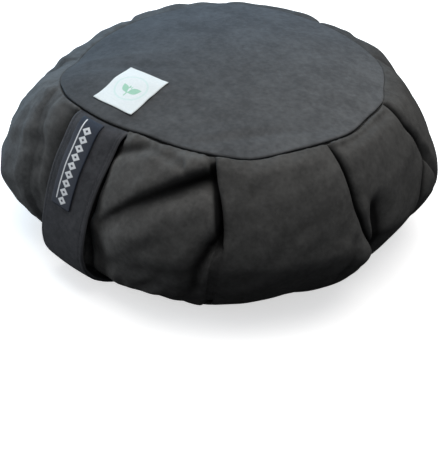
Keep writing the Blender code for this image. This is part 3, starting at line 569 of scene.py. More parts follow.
# ------------------------------------------------------------------ making the meshes
def closed_grid(name, points, material, first_pole, last_pole, uv, extra=None):
    """Closed piece from a grid of points whose columns run once round. Each end row is drawn together
    at a pole. Faces are all quads between rows and triangles at the poles. uv is the cloth's own flat
    place of each point, carried on past the last column to close the round. extra holds named values of
    the grid's points."""
    rows, columns = points.shape[:2]
    index = np.arange(rows * columns).reshape(rows, columns)
    a, b = index[:-1], index[1:]
    quads = np.stack([a, b, np.roll(b, -1, 1), np.roll(a, -1, 1)], -1).reshape(-1, 4)
    vertices = np.concatenate([points.reshape(-1, 3), [first_pole, last_pole]])
    top, low = rows * columns, rows * columns + 1
    first = np.stack([np.full(columns, top), index[0], np.roll(index[0], -1)], -1)
    last = np.stack([np.full(columns, low), np.roll(index[-1], -1), index[-1]], -1)
    mesh = bpy.data.meshes.new(name)
    mesh.from_pydata(vertices.tolist(), [], quads.tolist() + first.tolist() + last.tolist())
    mesh.polygons.foreach_set("use_smooth", np.ones(len(mesh.polygons), bool))
    layer = mesh.uv_layers.new(name="UVMap")
    u, v = uv[..., 0], uv[..., 1]
    span = np.concatenate([u, 2 * u[:, -1:] - u[:, -2:-1]], axis=1)
    tall = np.concatenate([v, v[:, :1]], axis=1)
    wide = np.arange(columns)
    corner_u = np.stack([span[:-1, wide], span[1:, wide], span[1:, wide + 1], span[:-1, wide + 1]], -1)
    corner_v = np.stack([tall[:-1, wide], tall[1:, wide], tall[1:, wide + 1], tall[:-1, wide + 1]], -1)
    flat = np.stack([corner_u.reshape(-1), corner_v.reshape(-1)], -1)
    ends = []
    for row in (0, -1):
        middle = 0.5 * (span[row, :-1] + span[row, 1:])
        left, right = (span[row, :-1], span[row, 1:]) if row == 0 else (span[row, 1:], span[row, :-1])
        three = np.stack([middle, left, right], -1)
        ends.append(np.stack([three.reshape(-1), np.full(three.size, tall[row, 0])], -1))
    layer.uv.foreach_set("vector", np.concatenate([flat, *ends]).astype(np.float32).reshape(-1))
    for label, values in (extra or {}).items():
        attribute = mesh.attributes.new(label, "FLOAT", "POINT")
        attribute.data.foreach_set("value", np.append(values.reshape(-1), [0.0, 0.0]).astype(np.float32))
    mesh.update()
    mesh.validate()
    piece = bpy.data.objects.new(name, mesh)
    bpy.context.scene.collection.objects.link(piece)
    mesh.materials.append(material)
    if not faces_out(mesh):
        mesh.flip_normals()
    return piece


def faces_out(mesh):
    """True where the signed volume, the sum of corner triple products over the triangles, is positive."""
    mesh.calc_loop_triangles()
    corners = np.zeros(len(mesh.loop_triangles) * 3, np.int32)
    mesh.loop_triangles.foreach_get("vertices", corners)
    place = np.zeros(len(mesh.vertices) * 3)
    mesh.vertices.foreach_get("co", place)
    a, b, c = place.reshape(-1, 3)[corners.reshape(-1, 3)].transpose(1, 0, 2)
    return float((a * np.cross(b, c)).sum()) > 0.0


def smooth_shares(count, near_top, near_foot):
    """Shares from 0 to 1, closer together near the top seam and near the foot."""
    fine = np.linspace(0.0, 1.0, 2001)
    density = 1.0 + near_top * np.exp(-(fine / 0.03) ** 2) + near_foot * np.exp(-((1 - fine) / 0.04) ** 2)
    total = np.concatenate([[0.0], np.cumsum(0.5 * (density[1:] + density[:-1]))])
    return np.interp(np.linspace(0.0, 1.0, count), total / total[-1], fine)


def filled_cushion(material):
    """Pleated side with its filling, closed above under the top cloth and below over the base cloth."""
    under_top, rim_sink = 0.0021, 0.0012
    shares = smooth_shares(134, 2.5, 0.8)
    points, push, shade = side_grid(shares)
    angle = np.degrees(np.arctan2(points[0, :, 0], -points[0, :, 1]))
    top_rows = []
    for share in (0.30, 0.70, 0.92, 0.968):
        row = crown_point(angle, np.full(len(angle), share), under_top)
        row[:, 2] = row[:, 2] - rim_sink * ease((share - 0.90) / 0.06)
        top_rows.append(row)
    foot = points[-1]
    low_rows = [np.column_stack([foot[:, :2] * scale, np.full(len(foot), FOOT_HEIGHT)])
                for scale in (0.97, 0.60, 0.25)]
    # a row just inside the side's upper edge, always below the top cloth's rim
    shelf = points[0] * np.array([0.9965, 0.9965, 1.0])
    shelf[:, 2] = np.minimum(shelf[:, 2] - 0.0004, top_rows[-1][:, 2] - 0.0002)
    top_rows.append(shelf)
    grid = np.concatenate([np.array(top_rows), points, np.array(low_rows)])
    above, below = len(top_rows), len(low_rows)
    middle = points[len(shares) // 2]
    step = np.linalg.norm(np.roll(middle, -1, 0) - middle, axis=1)
    run = np.concatenate([[0.0], np.cumsum(step)[:-1]])
    v = np.concatenate([-np.linspace(0.05, 0.004, above), shares * SIDE_RUN,
                        SIDE_RUN + np.linspace(0.004, 0.09, below)])
    uv = np.stack(np.broadcast_arrays(run[None, :], v[:, None]), -1)
    pad = ((above, below), (0, 0))
    # shade carries the painted shade of the pleats and folds to the side material
    extra = {"fold": np.pad(push, pad), "shade": np.pad(shade, pad)}
    first = crown_point(0.0, 0.0, under_top)
    return closed_grid("filled_cushion", grid, material, first, (0.0, 0.0, FOOT_HEIGHT), uv, extra)


def round_cloth(name, material, height_of, shares, thickness):
    """Round cloth as a closed solid: the upper face out to the rim, a half-round edge, the lower face.
    The lower face is the upper one moved by the thickness, straight down within and along the rim's
    normal at the edge."""
    edge_steps = 5
    angle = np.arange(360) * 1.0
    upper = [height_of(angle, share) for share in shares]
    rim = upper[-1]
    inner = upper[-2]
    outward = rim - inner
    outward = outward / np.linalg.norm(outward, axis=1)[:, None]
    round_dir = np.roll(rim, -1, 0) - np.roll(rim, 1, 0)
    normal = np.cross(round_dir, outward)
    normal = normal / np.linalg.norm(normal, axis=1)[:, None]
    normal = normal * np.sign(normal[:, 2:3] + 1e-9)
    edge = []
    for i in range(1, edge_steps):
        t = math.pi * i / edge_steps
        edge.append(rim + outward * (0.5 * thickness * math.sin(t))
                    - normal * (0.5 * thickness * (1 - math.cos(t))))
    lower = []
    for row, share in zip(upper[::-1], shares[::-1]):
        lift = ease((share - 0.90) / 0.10)
        lower.append(row - thickness * (normal * lift + np.array([0, 0, 1.0]) * (1 - lift)))
    grid = np.concatenate([np.array(upper), np.array(edge), np.array(lower)])
    middle = height_of(np.zeros(1), 0.0)[0]
    below = middle - np.array([0, 0, thickness])
    return closed_grid(name, grid, material, middle, below, grid[..., :2].copy())


def top_cloth(material):
    """Round top cloth, with rows closer together where it rolls over at its rim."""
    shares = np.concatenate([np.linspace(0.03, 0.93, 52), np.linspace(0.94, 0.965, 4),
                             0.980 + 0.020 * np.sin(np.linspace(0.0, math.pi / 2, 10) * 0.97)])
    return round_cloth("top_cloth", material,
                       lambda angle, share: crown_point(angle, np.full(len(angle), share)), shares, CLOTH)


def base_point(angle, share):
    """Point of the base cloth's upper face at an angle and a share of the way out: flat, just below the
    filled side, and 1 mm inside its foot."""
    r = (FOOT_RADIUS + ring_value("foot_out", angle) - 0.0010) * share
    a = np.radians(angle)
    return np.stack([r * np.sin(a), -r * np.cos(a), np.full(len(angle), FOOT_HEIGHT - CLEARANCE)], -1)


def base_cloth(material):
    """Round base cloth, which the cushion rests on."""
    shares = np.concatenate([np.linspace(0.04, 0.96, 40), [0.98, 0.99, 1.0]])
    return round_cloth("base_cloth", material, base_point, shares, FOOT_HEIGHT - CLEARANCE)


def soft_line(points, steps, passes):
    """Evenly spaced points on a rounded-off line through a short table of points, ends held."""
    table = np.array(points, float)
    run = np.concatenate([[0.0], np.cumsum(np.hypot(*np.diff(table, axis=0).T))])
    even = np.linspace(0.0, run[-1], 161)
    line = np.stack([np.interp(even, run, table[:, i]) for i in range(2)], -1)
    for _ in range(passes):
        line[1:-1] = 0.25 * line[:-2] + 0.5 * line[1:-1] + 0.25 * line[2:]
    run = np.concatenate([[0.0], np.cumsum(np.hypot(*np.diff(line, axis=0).T))])
    even = np.linspace(0.0, run[-1], steps)
    return np.stack([np.interp(even, run, line[:, i]) for i in range(2)], -1), run[-1]


def seam_reach(x):
    """Distance of the top seam from the x axis, level with x on the strap."""
    angle = np.degrees(np.arcsin(np.asarray(x) / SEAM_RADIUS))
    return (SEAM_RADIUS + ring_value("seam_out", angle)) * np.cos(np.radians(angle))


STRAP_COURSE, STRAP_RUN = soft_line(STRAP_LINE, 241, 30)


def strap_point(x, along, lift):
    """Point of the strap at x across it and a share along it, lift above its outer face. Near the seam
    the strap bends round the cushion; lower down it hangs flat, with a slow wave along its edges. Its
    edges lie a little lower than its middle, by the square of the way across."""
    cup_depth, wave_size = 0.0008, 0.0005
    place = np.linspace(0.0, 1.0, len(STRAP_COURSE))
    tangent = np.gradient(STRAP_COURSE, axis=0)
    tangent = tangent / np.hypot(tangent[:, 0], tangent[:, 1])[:, None]
    out = np.interp(along, place, STRAP_COURSE[:, 0])
    up = np.interp(along, place, STRAP_COURSE[:, 1])
    normal_out = -np.interp(along, place, tangent[:, 1])
    normal_up = np.interp(along, place, tangent[:, 0])
    bend = (seam_reach(0.0) - seam_reach(x)) * (1.0 - 0.95 * ease(along / 0.50))
    cup = cup_depth * (x / (STRAP_WIDTH / 2)) ** 2 * ease(along / 0.2) * ease((1 - along) / 0.2)
    wave = wave_size * np.sin(9.0 * along + 1.0 + 40.0 * x) * ease(along / 0.1) * ease((1 - along) / 0.15)
    lift = lift + wave - cup
    out = out + normal_out * lift - bend
    up = up + normal_up * lift
    return np.stack([np.broadcast_to(x, out.shape), -out, up], -1)


def band(name, material, middle, half_width, first, last, top, thickness, steps, across, rounding):
    """Flat band along the strap as a closed solid: a section of a flat upper face, half-round edges and
    a flat lower face, carried between two shares of the strap's length."""
    flat = np.linspace(-1.0, 1.0, across) * (half_width - rounding)
    turn = np.linspace(0.0, math.pi, 7)
    x = np.concatenate([flat, (half_width - rounding) + rounding * np.sin(turn[1:-1]),
                        flat[::-1], -(half_width - rounding) - rounding * np.sin(turn[1:-1])])
    z = np.concatenate([np.full(across, 0.0), -0.5 * (1 - np.cos(turn[1:-1])),
                        np.full(across, -1.0), -0.5 * (1 + np.cos(turn[1:-1]))])
    shares = np.linspace(first, last, steps)
    grid = np.array([strap_point(middle + x, np.full(len(x), share), top + z * thickness)
                     for share in shares])
    length = (shares - first) * STRAP_RUN
    uv = np.stack(np.broadcast_arrays(x[None, :], length[:, None]), -1)
    return closed_grid(name, grid, material, grid[0].mean(0), grid[-1].mean(0), uv)


def on_crown(x, y, level):
    """Points over the plane put level above the top cloth."""
    angle = np.degrees(np.arctan2(x, -y))
    share = np.hypot(x, y) / (SEAM_RADIUS + ring_value("seam_out", angle))
    return np.stack([x, y, crown_point(angle, share, -level)[..., 2]], -1)


def patch_place(s, t, level):
    """Point of the patch from -1 to 1 across and along: a blend of its four corners, with the sides drawn
    in a little, laid on the top cloth and lifted at its corners and along its bend."""
    corners = (PATCH_NEAR_LEFT, PATCH_NEAR_RIGHT, PATCH_FAR_LEFT, PATCH_FAR_RIGHT)
    s_in = s * (1.0 - 0.025 * (1 - t ** 2))
    weights = ((1 - s_in) * (1 - t), (1 + s_in) * (1 - t), (1 - s_in) * (1 + t), (1 + s_in) * (1 + t))
    x = sum(w * c[0] for w, c in zip(weights, corners)) / 4
    y = sum(w * c[1] for w, c in zip(weights, corners)) / 4
    corner = np.maximum(0.0, np.abs(s) * np.abs(t) - 0.70) / 0.30
    bend = 0.0006 * np.exp(-((t + 0.05 * s) / 0.22) ** 2)
    return on_crown(x, y, level + 0.0007 * corner + bend)


def patch_cloth(material):
    """Small oblong cloth lying on the top cloth, as rows of closed loops that run round it: wider and
    wider on the upper face, over the hem's edge and back in on the lower face."""
    steps_w, steps_l = 26, 34
    s = np.linspace(-1.0, 1.0, steps_w)
    t = np.linspace(-1.0, 1.0, steps_l)
    outline = np.concatenate([np.stack([s, np.full(steps_w, -1.0)], -1)[:-1],
                              np.stack([np.full(steps_l, 1.0), t], -1)[:-1],
                              np.stack([s[::-1], np.full(steps_w, 1.0)], -1)[:-1],
                              np.stack([np.full(steps_l, -1.0), t[::-1]], -1)[:-1]])
    spec = [(share, 0.0009) for share in (0.08, 0.2, 0.32, 0.44, 0.56, 0.68, 0.78, 0.87, 0.94, 0.98)]
    spec = spec + [(1.0, 0.00075), (1.004, 0.00060), (1.0, 0.00045)]
    spec = spec + [(share, 0.0003) for share in (0.98, 0.87, 0.68, 0.44, 0.2)]
    rows = [patch_place(outline[:, 0] * share, outline[:, 1] * share, level) for share, level in spec]
    flats = [outline * share * np.array([PATCH_WIDTH, PATCH_LENGTH]) / 2 for share, level in spec]
    middle = np.zeros(1)
    return closed_grid("patch_cloth", np.array(rows), material, patch_place(middle, middle, 0.0009)[0],
                       patch_place(middle, middle, 0.0003)[0], np.array(flats))


# ------------------------------------------------------------------ materials
class Cloth:
    """Small helper that adds and joins the nodes of one material."""

    def __init__(self, name):
        self.material = bpy.data.materials.new(name)
        self.material.use_nodes = True
        self.tree = self.material.node_tree
        self.shader = self.tree.nodes["Principled BSDF"]

    def node(self, kind, **settings):
        made = self.tree.nodes.new(kind)
        for key, value in settings.items():
            setattr(made, key, value)
        return made

    def join(self, output, socket):
        self.tree.links.new(output, socket)

    def feed(self, value, socket):
        """Join an output to a socket, or set the socket to a plain value."""
        if hasattr(value, "node"):
            self.join(value, socket)
        else:
            socket.default_value = value

    def settle(self, values):
        """Set sockets of the shader that are the same all over."""
        for name, value in values.items():
            self.shader.inputs[name].default_value = value

    def place(self):
        """Place on the object, in metres."""
        return self.node("ShaderNodeTexCoord").outputs["Object"]

    def flat(self):
        """Place on the piece's own flat cloth, in metres."""
        return self.node("ShaderNodeUVMap").outputs["UV"]

    def finish(self, colour, normal):
        """Give the shader its colour and its relief."""
        self.join(colour, self.shader.inputs["Base Color"])
        self.join(normal, self.shader.inputs["Normal"])
        return self

    def cut(self, vector):
        """The X and Y parts of a vector."""
        split = self.node("ShaderNodeSeparateXYZ")
        self.join(vector, split.inputs["Vector"])
        return split.outputs["X"], split.outputs["Y"]

    def calc(self, operation, a, b=0.0, c=0.0):
        """One step of arithmetic on up to three values."""
        made = self.node("ShaderNodeMath", operation=operation)
        for value, socket in zip((a, b, c), made.inputs):
            self.feed(value, socket)
        return made.outputs[0]

    def plus(self, a, b):
        return self.calc("ADD", a, b)

    def minus(self, a, b):
        return self.calc("SUBTRACT", a, b)

    def times(self, a, b):
        return self.calc("MULTIPLY", a, b)

    def size(self, a):
        return self.calc("ABSOLUTE", a)

    def span(self, value, low, high, to_low=0.0, to_high=1.0):
        """Smooth step from to_low to to_high as the value goes from low to high."""
        made = self.node("ShaderNodeMapRange", interpolation_type="SMOOTHSTEP")
        self.feed(value, made.inputs["Value"])
        made.inputs["From Min"].default_value = low
        made.inputs["From Max"].default_value = high
        made.inputs["To Min"].default_value = to_low
        made.inputs["To Max"].default_value = to_high
        return made.outputs["Result"]

    def blend(self, share, a, b):
        """Colour between a and b by a share."""
        made = self.node("ShaderNodeMix", data_type="RGBA")
        self.feed(share, made.inputs["Factor"])
        self.feed(a if hasattr(a, "node") else (*a, 1.0), made.inputs["A"])
        self.feed(b if hasattr(b, "node") else (*b, 1.0), made.inputs["B"])
        return made.outputs["Result"]

    def noise(self, place, scale, detail=3.0, rough=0.5):
        """Cloudy pattern from 0 to 1."""
        made = self.node("ShaderNodeTexNoise")
        self.join(place, made.inputs["Vector"])
        made.inputs["Scale"].default_value = scale
        made.inputs["Detail"].default_value = detail
        made.inputs["Roughness"].default_value = rough
        return made.outputs["Fac"]

    def specks(self, place, scale, size, share_kept, seed):
        """Sparse round specks: near the middle of a cell, in the cells whose own number is high."""
        shift = self.node("ShaderNodeMapping")
        self.join(place, shift.inputs["Vector"])
        shift.inputs["Location"].default_value = (seed, seed * 0.37, seed * 0.71)
        cell = self.node("ShaderNodeTexVoronoi")
        self.join(shift.outputs["Vector"], cell.inputs["Vector"])
        cell.inputs["Scale"].default_value = scale
        cell.inputs["Randomness"].default_value = 1.0
        dot = self.span(cell.outputs["Distance"], size * scale * 0.5, size * scale, 1.0, 0.0)
        number = self.node("ShaderNodeSeparateColor")
        self.join(cell.outputs["Color"], number.inputs["Color"])
        chosen = self.calc("GREATER_THAN", number.outputs["Red"], 1.0 - share_kept)
        return self.times(dot, chosen)

    def weave(self, uv, thread):
        """Plain weave: threads both ways, each a rounded ridge that dips under every second crossing."""
        u, v = self.cut(uv)
        warp = self.calc("SINE", self.times(u, math.pi / thread))
        weft = self.calc("SINE", self.times(v, math.pi / thread))
        pick = self.span(self.times(warp, weft), -0.25, 0.25)
        high = self.times(self.size(warp), pick)
        low = self.times(self.size(weft), self.minus(1.0, pick))
        return self.plus(high, low)

    def bump(self, height, strength, distance, under=None):
        """Relief of a height, on top of another relief where one is given."""
        made = self.node("ShaderNodeBump")
        made.inputs["Strength"].default_value = strength
        made.inputs["Distance"].default_value = distance
        self.join(height, made.inputs["Height"])
        if under is not None:
            self.join(under, made.inputs["Normal"])
        return made.outputs["Normal"]


def black_cotton(name, deep, faded, thread=0.00055, folded=False, lint=1.0, lean=0.12):
    """Matt black cotton: cloudy fading, painted light that makes it paler by the share lean for every 20 cm
    towards +X and +Y, a painted cool light tint towards -X, fine plain weave, slubs, a soft nap and a little
    lint. Where the shape has folds it is paler along their ridges, with painted shade in their troughs that
    turns nearly black deep down. Comes back with its helper."""
    cloth = Cloth(name)
    place = cloth.place()
    uv = cloth.flat()
    cloudy = cloth.noise(place, 30.0, 5.0, 0.66)
    mottled = cloth.noise(place, 260.0, 3.0, 0.6)
    share = cloth.calc("MULTIPLY_ADD", cloth.span(cloudy, 0.28, 0.74), 0.60, 0.10)
    share = cloth.plus(share, cloth.calc("MULTIPLY_ADD", mottled, 1.70, -0.85))
    blotched = cloth.noise(place, 110.0, 3.0, 0.6)
    share = cloth.plus(share, cloth.calc("MULTIPLY_ADD", blotched, 1.00, -0.50))
    if folded:
        fold = cloth.node("ShaderNodeAttribute", attribute_name="fold").outputs["Fac"]
        worn = cloth.span(fold, 0.0004, 0.0026)
        share = cloth.plus(share, cloth.times(worn, 0.20))
        # painted shade: the troughs of folds are painted darker
        sunk = cloth.span(fold, -0.0060, -0.0010, 0.30, 0.0)
        share = cloth.minus(share, sunk)
    share = cloth.calc("MAXIMUM", share, 0.0)
    share = cloth.calc("MINIMUM", share, 1.0)
    colour = cloth.blend(share, deep, faded)
    ground = cloth.weave(uv, thread)
    x, y = cloth.cut(place)
    # painted light: the colour grows paler or darker across the piece by the share lean per 20 cm towards +X
    # and +Y, times the weave's own tone
    side = cloth.calc("MULTIPLY_ADD", cloth.plus(x, y), lean / 0.20, 1.0)
    shade = cloth.times(side, cloth.calc("MULTIPLY_ADD", ground, 0.36, 0.77))
    # painted cool light: the colour is tinted blue towards -X, where cool light falls
    painted_cool_light = cloth.span(cloth.minus(cloth.times(y, 0.35), x), -0.08, 0.12)
    tinted = cloth.node("ShaderNodeVectorMath", operation="MULTIPLY")
    cloth.join(colour, tinted.inputs[0])
    cloth.join(cloth.blend(painted_cool_light, (1.0, 1.0, 1.0), PAINTED_COOL_LIGHT_TINT), tinted.inputs[1])
    toned = cloth.node("ShaderNodeVectorMath", operation="SCALE")
    cloth.join(tinted.outputs["Vector"], toned.inputs[0])
    cloth.join(shade, toned.inputs["Scale"])
    dusty = cloth.span(cloth.noise(place, 34.0, 2.0), 0.50, 0.66)
    fine = cloth.specks(place, 260.0, 0.00026, 0.10, 0.0)
    fine = cloth.times(fine, dusty)
    bits = cloth.specks(place, 75.0, 0.00040, 0.045, 3.1)
    fine = cloth.times(fine, 0.30 * lint)
    bits = cloth.times(bits, 0.42 * lint)
    dots = cloth.calc("MAXIMUM", fine, bits)
    finished = cloth.blend(dots, toned.outputs["Vector"], (0.36, 0.37, 0.38))
    if folded:
        # painted shade: deep in pleats and folds the colour is blended to near black
        painted_fold_shade = cloth.node("ShaderNodeAttribute", attribute_name="shade").outputs["Fac"]
        finished = cloth.blend(cloth.times(painted_fold_shade, 0.96), finished, (0.0030, 0.0030, 0.0032))
    cloth.join(cloth.calc("MULTIPLY_ADD", mottled, 0.10, 0.86), cloth.shader.inputs["Roughness"])
    cloth.settle({"Specular IOR Level": 0.12, "Sheen Weight": 0.03, "Sheen Roughness": 0.55})
    slubs = cloth.noise(uv, 900.0, 2.0, 0.7)
    first = cloth.bump(cloth.noise(place, 420.0, 4.0, 0.65), 0.35, 0.00035)
    second = cloth.bump(slubs, 0.20, 0.00020, first)
    return cloth.finish(finished, cloth.bump(ground, 0.45, 0.00018, second))


def strap_cotton():
    """Black cotton of the strap, with a stitched line inside either edge and a painted highlight along its
    folded edges on its upper two thirds."""
    cloth = black_cotton("black strap cotton", (0.044, 0.046, 0.051), (0.078, 0.080, 0.088), 0.00060)
    stitch_inset, stitch_pitch = 0.0032, 0.0030
    x, y = cloth.cut(cloth.flat())
    across = cloth.size(x)
    edge = cloth.span(across, STRAP_WIDTH / 2 - 0.0016, STRAP_WIDTH / 2 - 0.0004)
    line = cloth.size(cloth.minus(across, STRAP_WIDTH / 2 - stitch_inset))
    row = cloth.span(line, 0.00025, 0.00055, 1.0, 0.0)
    dash = cloth.calc("SINE", cloth.times(y, 2 * math.pi / stitch_pitch))
    stitch = cloth.times(row, cloth.span(dash, -0.55, -0.20))
    base = cloth.shader.inputs["Base Color"].links[0].from_socket
    # painted highlight: the folded edges are painted paler, only on the strap's upper part where light
    # reaches them
    edge = cloth.times(edge, cloth.span(y, 0.085, 0.110, 1.0, 0.0))
    painted_edge_highlight = cloth.blend(cloth.times(edge, 0.45), base, (0.140, 0.145, 0.155))
    sewn = cloth.blend(cloth.times(stitch, 0.45), painted_edge_highlight, (0.030, 0.031, 0.034))
    under = cloth.shader.inputs["Normal"].links[0].from_socket
    dent = cloth.minus(stitch, cloth.span(line, 0.0003, 0.0012, 1.2, 0.0))
    return cloth.finish(sewn, cloth.bump(dent, 0.5, 0.0004, under))


def woven_ribbon():
    """Navy ribbon, ribbed across, with one white woven line beside a row of small white lozenges."""
    cloth = Cloth("navy woven ribbon")
    x, y = cloth.cut(cloth.flat())
    place = cloth.place()
    pitch, count, first = 0.0066, 9, 0.0052
    last = first + count * pitch
    line = cloth.size(cloth.minus(x, -0.0050))
    line = cloth.span(line, 0.00035, 0.00075, 1.0, 0.0)
    reach = cloth.times(cloth.span(y, 0.0010, 0.0016), cloth.span(y, 0.0610, 0.0616, 1.0, 0.0))
    line = cloth.times(line, reach)
    step = cloth.calc("FRACT", cloth.calc("DIVIDE", cloth.minus(y, first), pitch))
    up = cloth.times(cloth.size(cloth.minus(step, 0.5)), pitch / 0.0034)
    aside = cloth.calc("DIVIDE", cloth.size(cloth.minus(x, 0.0010)), 0.0046)
    away = cloth.plus(up, aside)
    outer = cloth.span(away, 0.88, 1.00, 1.0, 0.0)
    inner = cloth.span(away, 0.22, 0.36, 1.0, 0.0)
    lozenge = cloth.minus(outer, inner)
    inside = cloth.times(cloth.span(y, first - 0.0002, first), cloth.span(y, last, last + 0.0002, 1.0, 0.0))
    lozenge = cloth.times(lozenge, inside)
    mark = cloth.calc("MAXIMUM", line, lozenge)
    rib = cloth.calc("SINE", cloth.times(y, 2 * math.pi / 0.00050))
    grain = cloth.noise(place, 900.0, 2.0)
    navy = cloth.blend(grain, (0.010, 0.015, 0.029), (0.022, 0.030, 0.050))
    white = cloth.blend(grain, (0.62, 0.65, 0.68), (0.80, 0.82, 0.84))
    cloth.settle({"Roughness": 0.62, "Specular IOR Level": 0.35})
    height = cloth.plus(cloth.times(rib, 0.25), mark)
    return cloth.finish(cloth.blend(mark, navy, white), cloth.bump(height, 0.35, 0.00018))


def leaf(cloth, x, y, turn, length, width):
    """Share of a point inside a pointed leaf that starts at the origin and leans by turn: its width is
    a half sine along its length."""
    c, s = math.cos(turn), math.sin(turn)
    along = cloth.plus(cloth.times(x, s / length), cloth.times(y, c / length))
    across = cloth.minus(cloth.times(x, c), cloth.times(y, s))
    held = cloth.calc("MINIMUM", cloth.calc("MAXIMUM", along, 0.0), 1.0)
    half = cloth.times(cloth.calc("SINE", cloth.times(held, math.pi)), width / 2)
    inside = cloth.minus(half, cloth.size(across))
    return cloth.span(inside, 0.0000, 0.0005)


def patch_weave():
    """White cloth with a pale green sprig of two leaves inside a faint ring, and a greyer hem."""
    cloth = Cloth("white patch cloth")
    uv = cloth.flat()
    place = cloth.place()
    x, y = cloth.cut(uv)
    sprig_drop, ring_radius = 0.0060, 0.0132
    up = cloth.plus(y, sprig_drop)
    right_leaf = leaf(cloth, x, up, math.radians(52), 0.0125, 0.0066)
    left_leaf = leaf(cloth, x, up, math.radians(-46), 0.0105, 0.0058)
    leaves = cloth.calc("MAXIMUM", right_leaf, left_leaf)
    stem = cloth.span(cloth.size(x), 0.0003, 0.0008, 1.0, 0.0)
    tall = cloth.span(cloth.size(cloth.plus(up, 0.0012)), 0.0022, 0.0028, 1.0, 0.0)
    stem = cloth.times(stem, tall)
    sprig = cloth.calc("MAXIMUM", leaves, stem)
    radius = cloth.calc("SQRT", cloth.plus(cloth.times(x, x), cloth.times(y, y)))
    off = cloth.size(cloth.minus(radius, ring_radius))
    ring = cloth.span(off, 0.0004, 0.0012, 1.0, 0.0)
    grain = cloth.noise(place, 700.0, 3.0)
    white = cloth.blend(grain, (0.66, 0.73, 0.74), (0.82, 0.86, 0.86))
    ringed = cloth.blend(cloth.times(ring, 0.35), white, (0.46, 0.72, 0.66))
    green = cloth.blend(grain, (0.22, 0.52, 0.36), (0.34, 0.62, 0.46))
    printed = cloth.blend(cloth.times(sprig, 0.85), ringed, green)
    across = cloth.calc("DIVIDE", cloth.size(x), PATCH_WIDTH / 2)
    along = cloth.calc("DIVIDE", cloth.size(y), PATCH_LENGTH / 2)
    rim = cloth.span(cloth.calc("MAXIMUM", across, along), 0.955, 0.995)
    hemmed = cloth.blend(cloth.times(rim, 0.35), printed, (0.42, 0.46, 0.46))
    cloth.settle({"Roughness": 0.80, "Specular IOR Level": 0.30})
    first = cloth.bump(cloth.weave(uv, 0.00040), 0.30, 0.00012)
    return cloth.finish(hemmed, cloth.bump(cloth.noise(place, 160.0, 2.0), 0.25, 0.0006, first))


def pale_floor():
    """Plain pale floor paint that glows a little, so that the floor stays near white."""
    paint = Cloth("pale floor")
    paint.settle({"Base Color": (0.93, 0.93, 0.93, 1.0), "Roughness": 0.95, "Specular IOR Level": 0.0,
                  "Emission Color": (1.0, 1.0, 1.0, 1.0), "Emission Strength": 0.60})
    paint.material.cycles.emission_sampling = "NONE"
    return paint


# ------------------------------------------------------------------ light, floor and camera
def soft_panel(name, place, target, size, watts, colour):
    """Oblong area lamp at a place, turned to face a target."""
    data = bpy.data.lights.new(name, "AREA")
    data.shape = "RECTANGLE"
    data.size, data.size_y = size
    data.energy = watts
    data.color = colour
    lamp = bpy.data.objects.new(name, data)
    bpy.context.scene.collection.objects.link(lamp)
    facing = (Vector(target) - Vector(place)).to_track_quat("-Z", "Y")
    lamp.matrix_world = Matrix.Translation(place) @ facing.to_matrix().to_4x4()


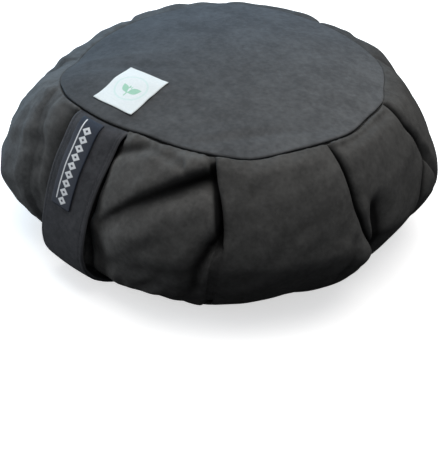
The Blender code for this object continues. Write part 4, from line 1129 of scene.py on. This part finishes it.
def studio():
    """Wide soft light from above and a little behind, a cool window on the left, a low fill from the left
    front, a dim all-round light that is cool above and nearly black below, and a pale floor."""
    world = bpy.data.worlds.new("soft room")
    bpy.context.scene.world = world
    world.use_nodes = True
    tree = world.node_tree
    sky = tree.nodes["Background"]
    coord = tree.nodes.new("ShaderNodeTexCoord")
    split = tree.nodes.new("ShaderNodeSeparateXYZ")
    ramp = tree.nodes.new("ShaderNodeValToRGB")
    tree.links.new(coord.outputs["Generated"], split.inputs["Vector"])
    shift = tree.nodes.new("ShaderNodeMath")
    shift.operation = "MULTIPLY_ADD"
    shift.inputs[1].default_value = 0.5
    shift.inputs[2].default_value = 0.5
    tree.links.new(split.outputs["Z"], shift.inputs[0])
    tree.links.new(shift.outputs["Value"], ramp.inputs["Fac"])
    ramp.color_ramp.elements[0].position = 0.42
    ramp.color_ramp.elements[0].color = (0.020, 0.020, 0.020, 1.0)
    ramp.color_ramp.elements[1].position = 0.85
    ramp.color_ramp.elements[1].color = (0.60, 0.62, 0.66, 1.0)
    tree.links.new(ramp.outputs["Color"], sky.inputs["Color"])
    sky.inputs["Strength"].default_value = 0.60
    soft_panel("overhead", (-0.05, 0.30, 1.65), (0.0, 0.0, 0.08), (2.0, 2.0), 27.0, (1.0, 0.965, 0.925))
    soft_panel("cool window", (-0.98, 0.15, 0.50), (0.0, 0.0, 0.08), (0.6, 0.8), 5.4, (0.34, 0.70, 1.0))
    soft_panel("side fill", (-1.12, -0.85, 0.16), (0.0, 0.0, 0.05), (0.8, 0.4), 10.0, (0.92, 0.96, 1.0))
    bpy.ops.mesh.primitive_plane_add(size=8.0, location=(0.0, 0.0, -0.0002))
    floor = bpy.context.active_object
    floor.name = "floor"
    floor.data.materials.append(pale_floor().material)
    floor.visible_diffuse = False
    floor.visible_glossy = False
    bpy.context.scene.view_settings.view_transform = "Standard"


def camera():
    """Long lens looking down at the cushion from its front right, tilted a little."""
    data = bpy.data.cameras.new("camera")
    data.sensor_width = 36.0
    data.lens = CAMERA_LENS
    data.clip_start, data.clip_end = 0.05, 20.0
    item = bpy.data.objects.new("camera", data)
    bpy.context.scene.collection.objects.link(item)
    turn = Euler([math.radians(angle) for angle in CAMERA_TURN]).to_matrix()
    item.matrix_world = Matrix.Translation(CAMERA_PLACE) @ turn.to_4x4()
    bpy.context.scene.camera = item


# ------------------------------------------------------------------ putting it together
def place_piece(piece, node):
    """Tie a piece to the one body and hide the imported node that it stands for."""
    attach(piece, "root")
    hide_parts(node)


def main():
    """Make the six pieces, hiding the imported part that each stands for, then the light, the floor and the
    camera.
    """
    # lean sets each cloth's painted light across the piece
    side_cotton = black_cotton("black side cotton", (0.064, 0.064, 0.062), (0.106, 0.106, 0.103),
                               folded=True, lean=-0.16)
    plain_cotton = black_cotton("black top cotton", (0.062, 0.065, 0.068), (0.103, 0.108, 0.112),
                                lint=0.7, lean=0.30)
    base_cotton = black_cotton("black base cotton", (0.050, 0.051, 0.055), (0.080, 0.082, 0.088), lint=0.4)
    cushion = filled_cushion(side_cotton.material)
    place_piece(cushion, "filled_body")
    top = top_cloth(plain_cotton.material)
    place_piece(top, "top_panel")
    base = base_cloth(base_cotton.material)
    place_piece(base, "bottom_panel")
    strap = band("carry_band", strap_cotton().material, middle=0.0, half_width=STRAP_WIDTH / 2, first=0.0,
                 last=1.0, top=0.0, thickness=STRAP_THICKNESS, steps=170, across=26, rounding=0.0010)
    place_piece(strap, "carry_strap")
    first = LABEL_START / STRAP_RUN
    last = first + LABEL_LENGTH / STRAP_RUN
    label = band("woven_ribbon", woven_ribbon().material, middle=LABEL_OFFSET, half_width=LABEL_WIDTH / 2,
                 first=first, last=last, top=LABEL_LIFT, thickness=LABEL_THICKNESS, steps=120, across=16,
                 rounding=0.0003)
    place_piece(label, "strap_label")
    patch = patch_cloth(patch_weave().material)
    place_piece(patch, "top_patch")
    studio()
    camera()


main()
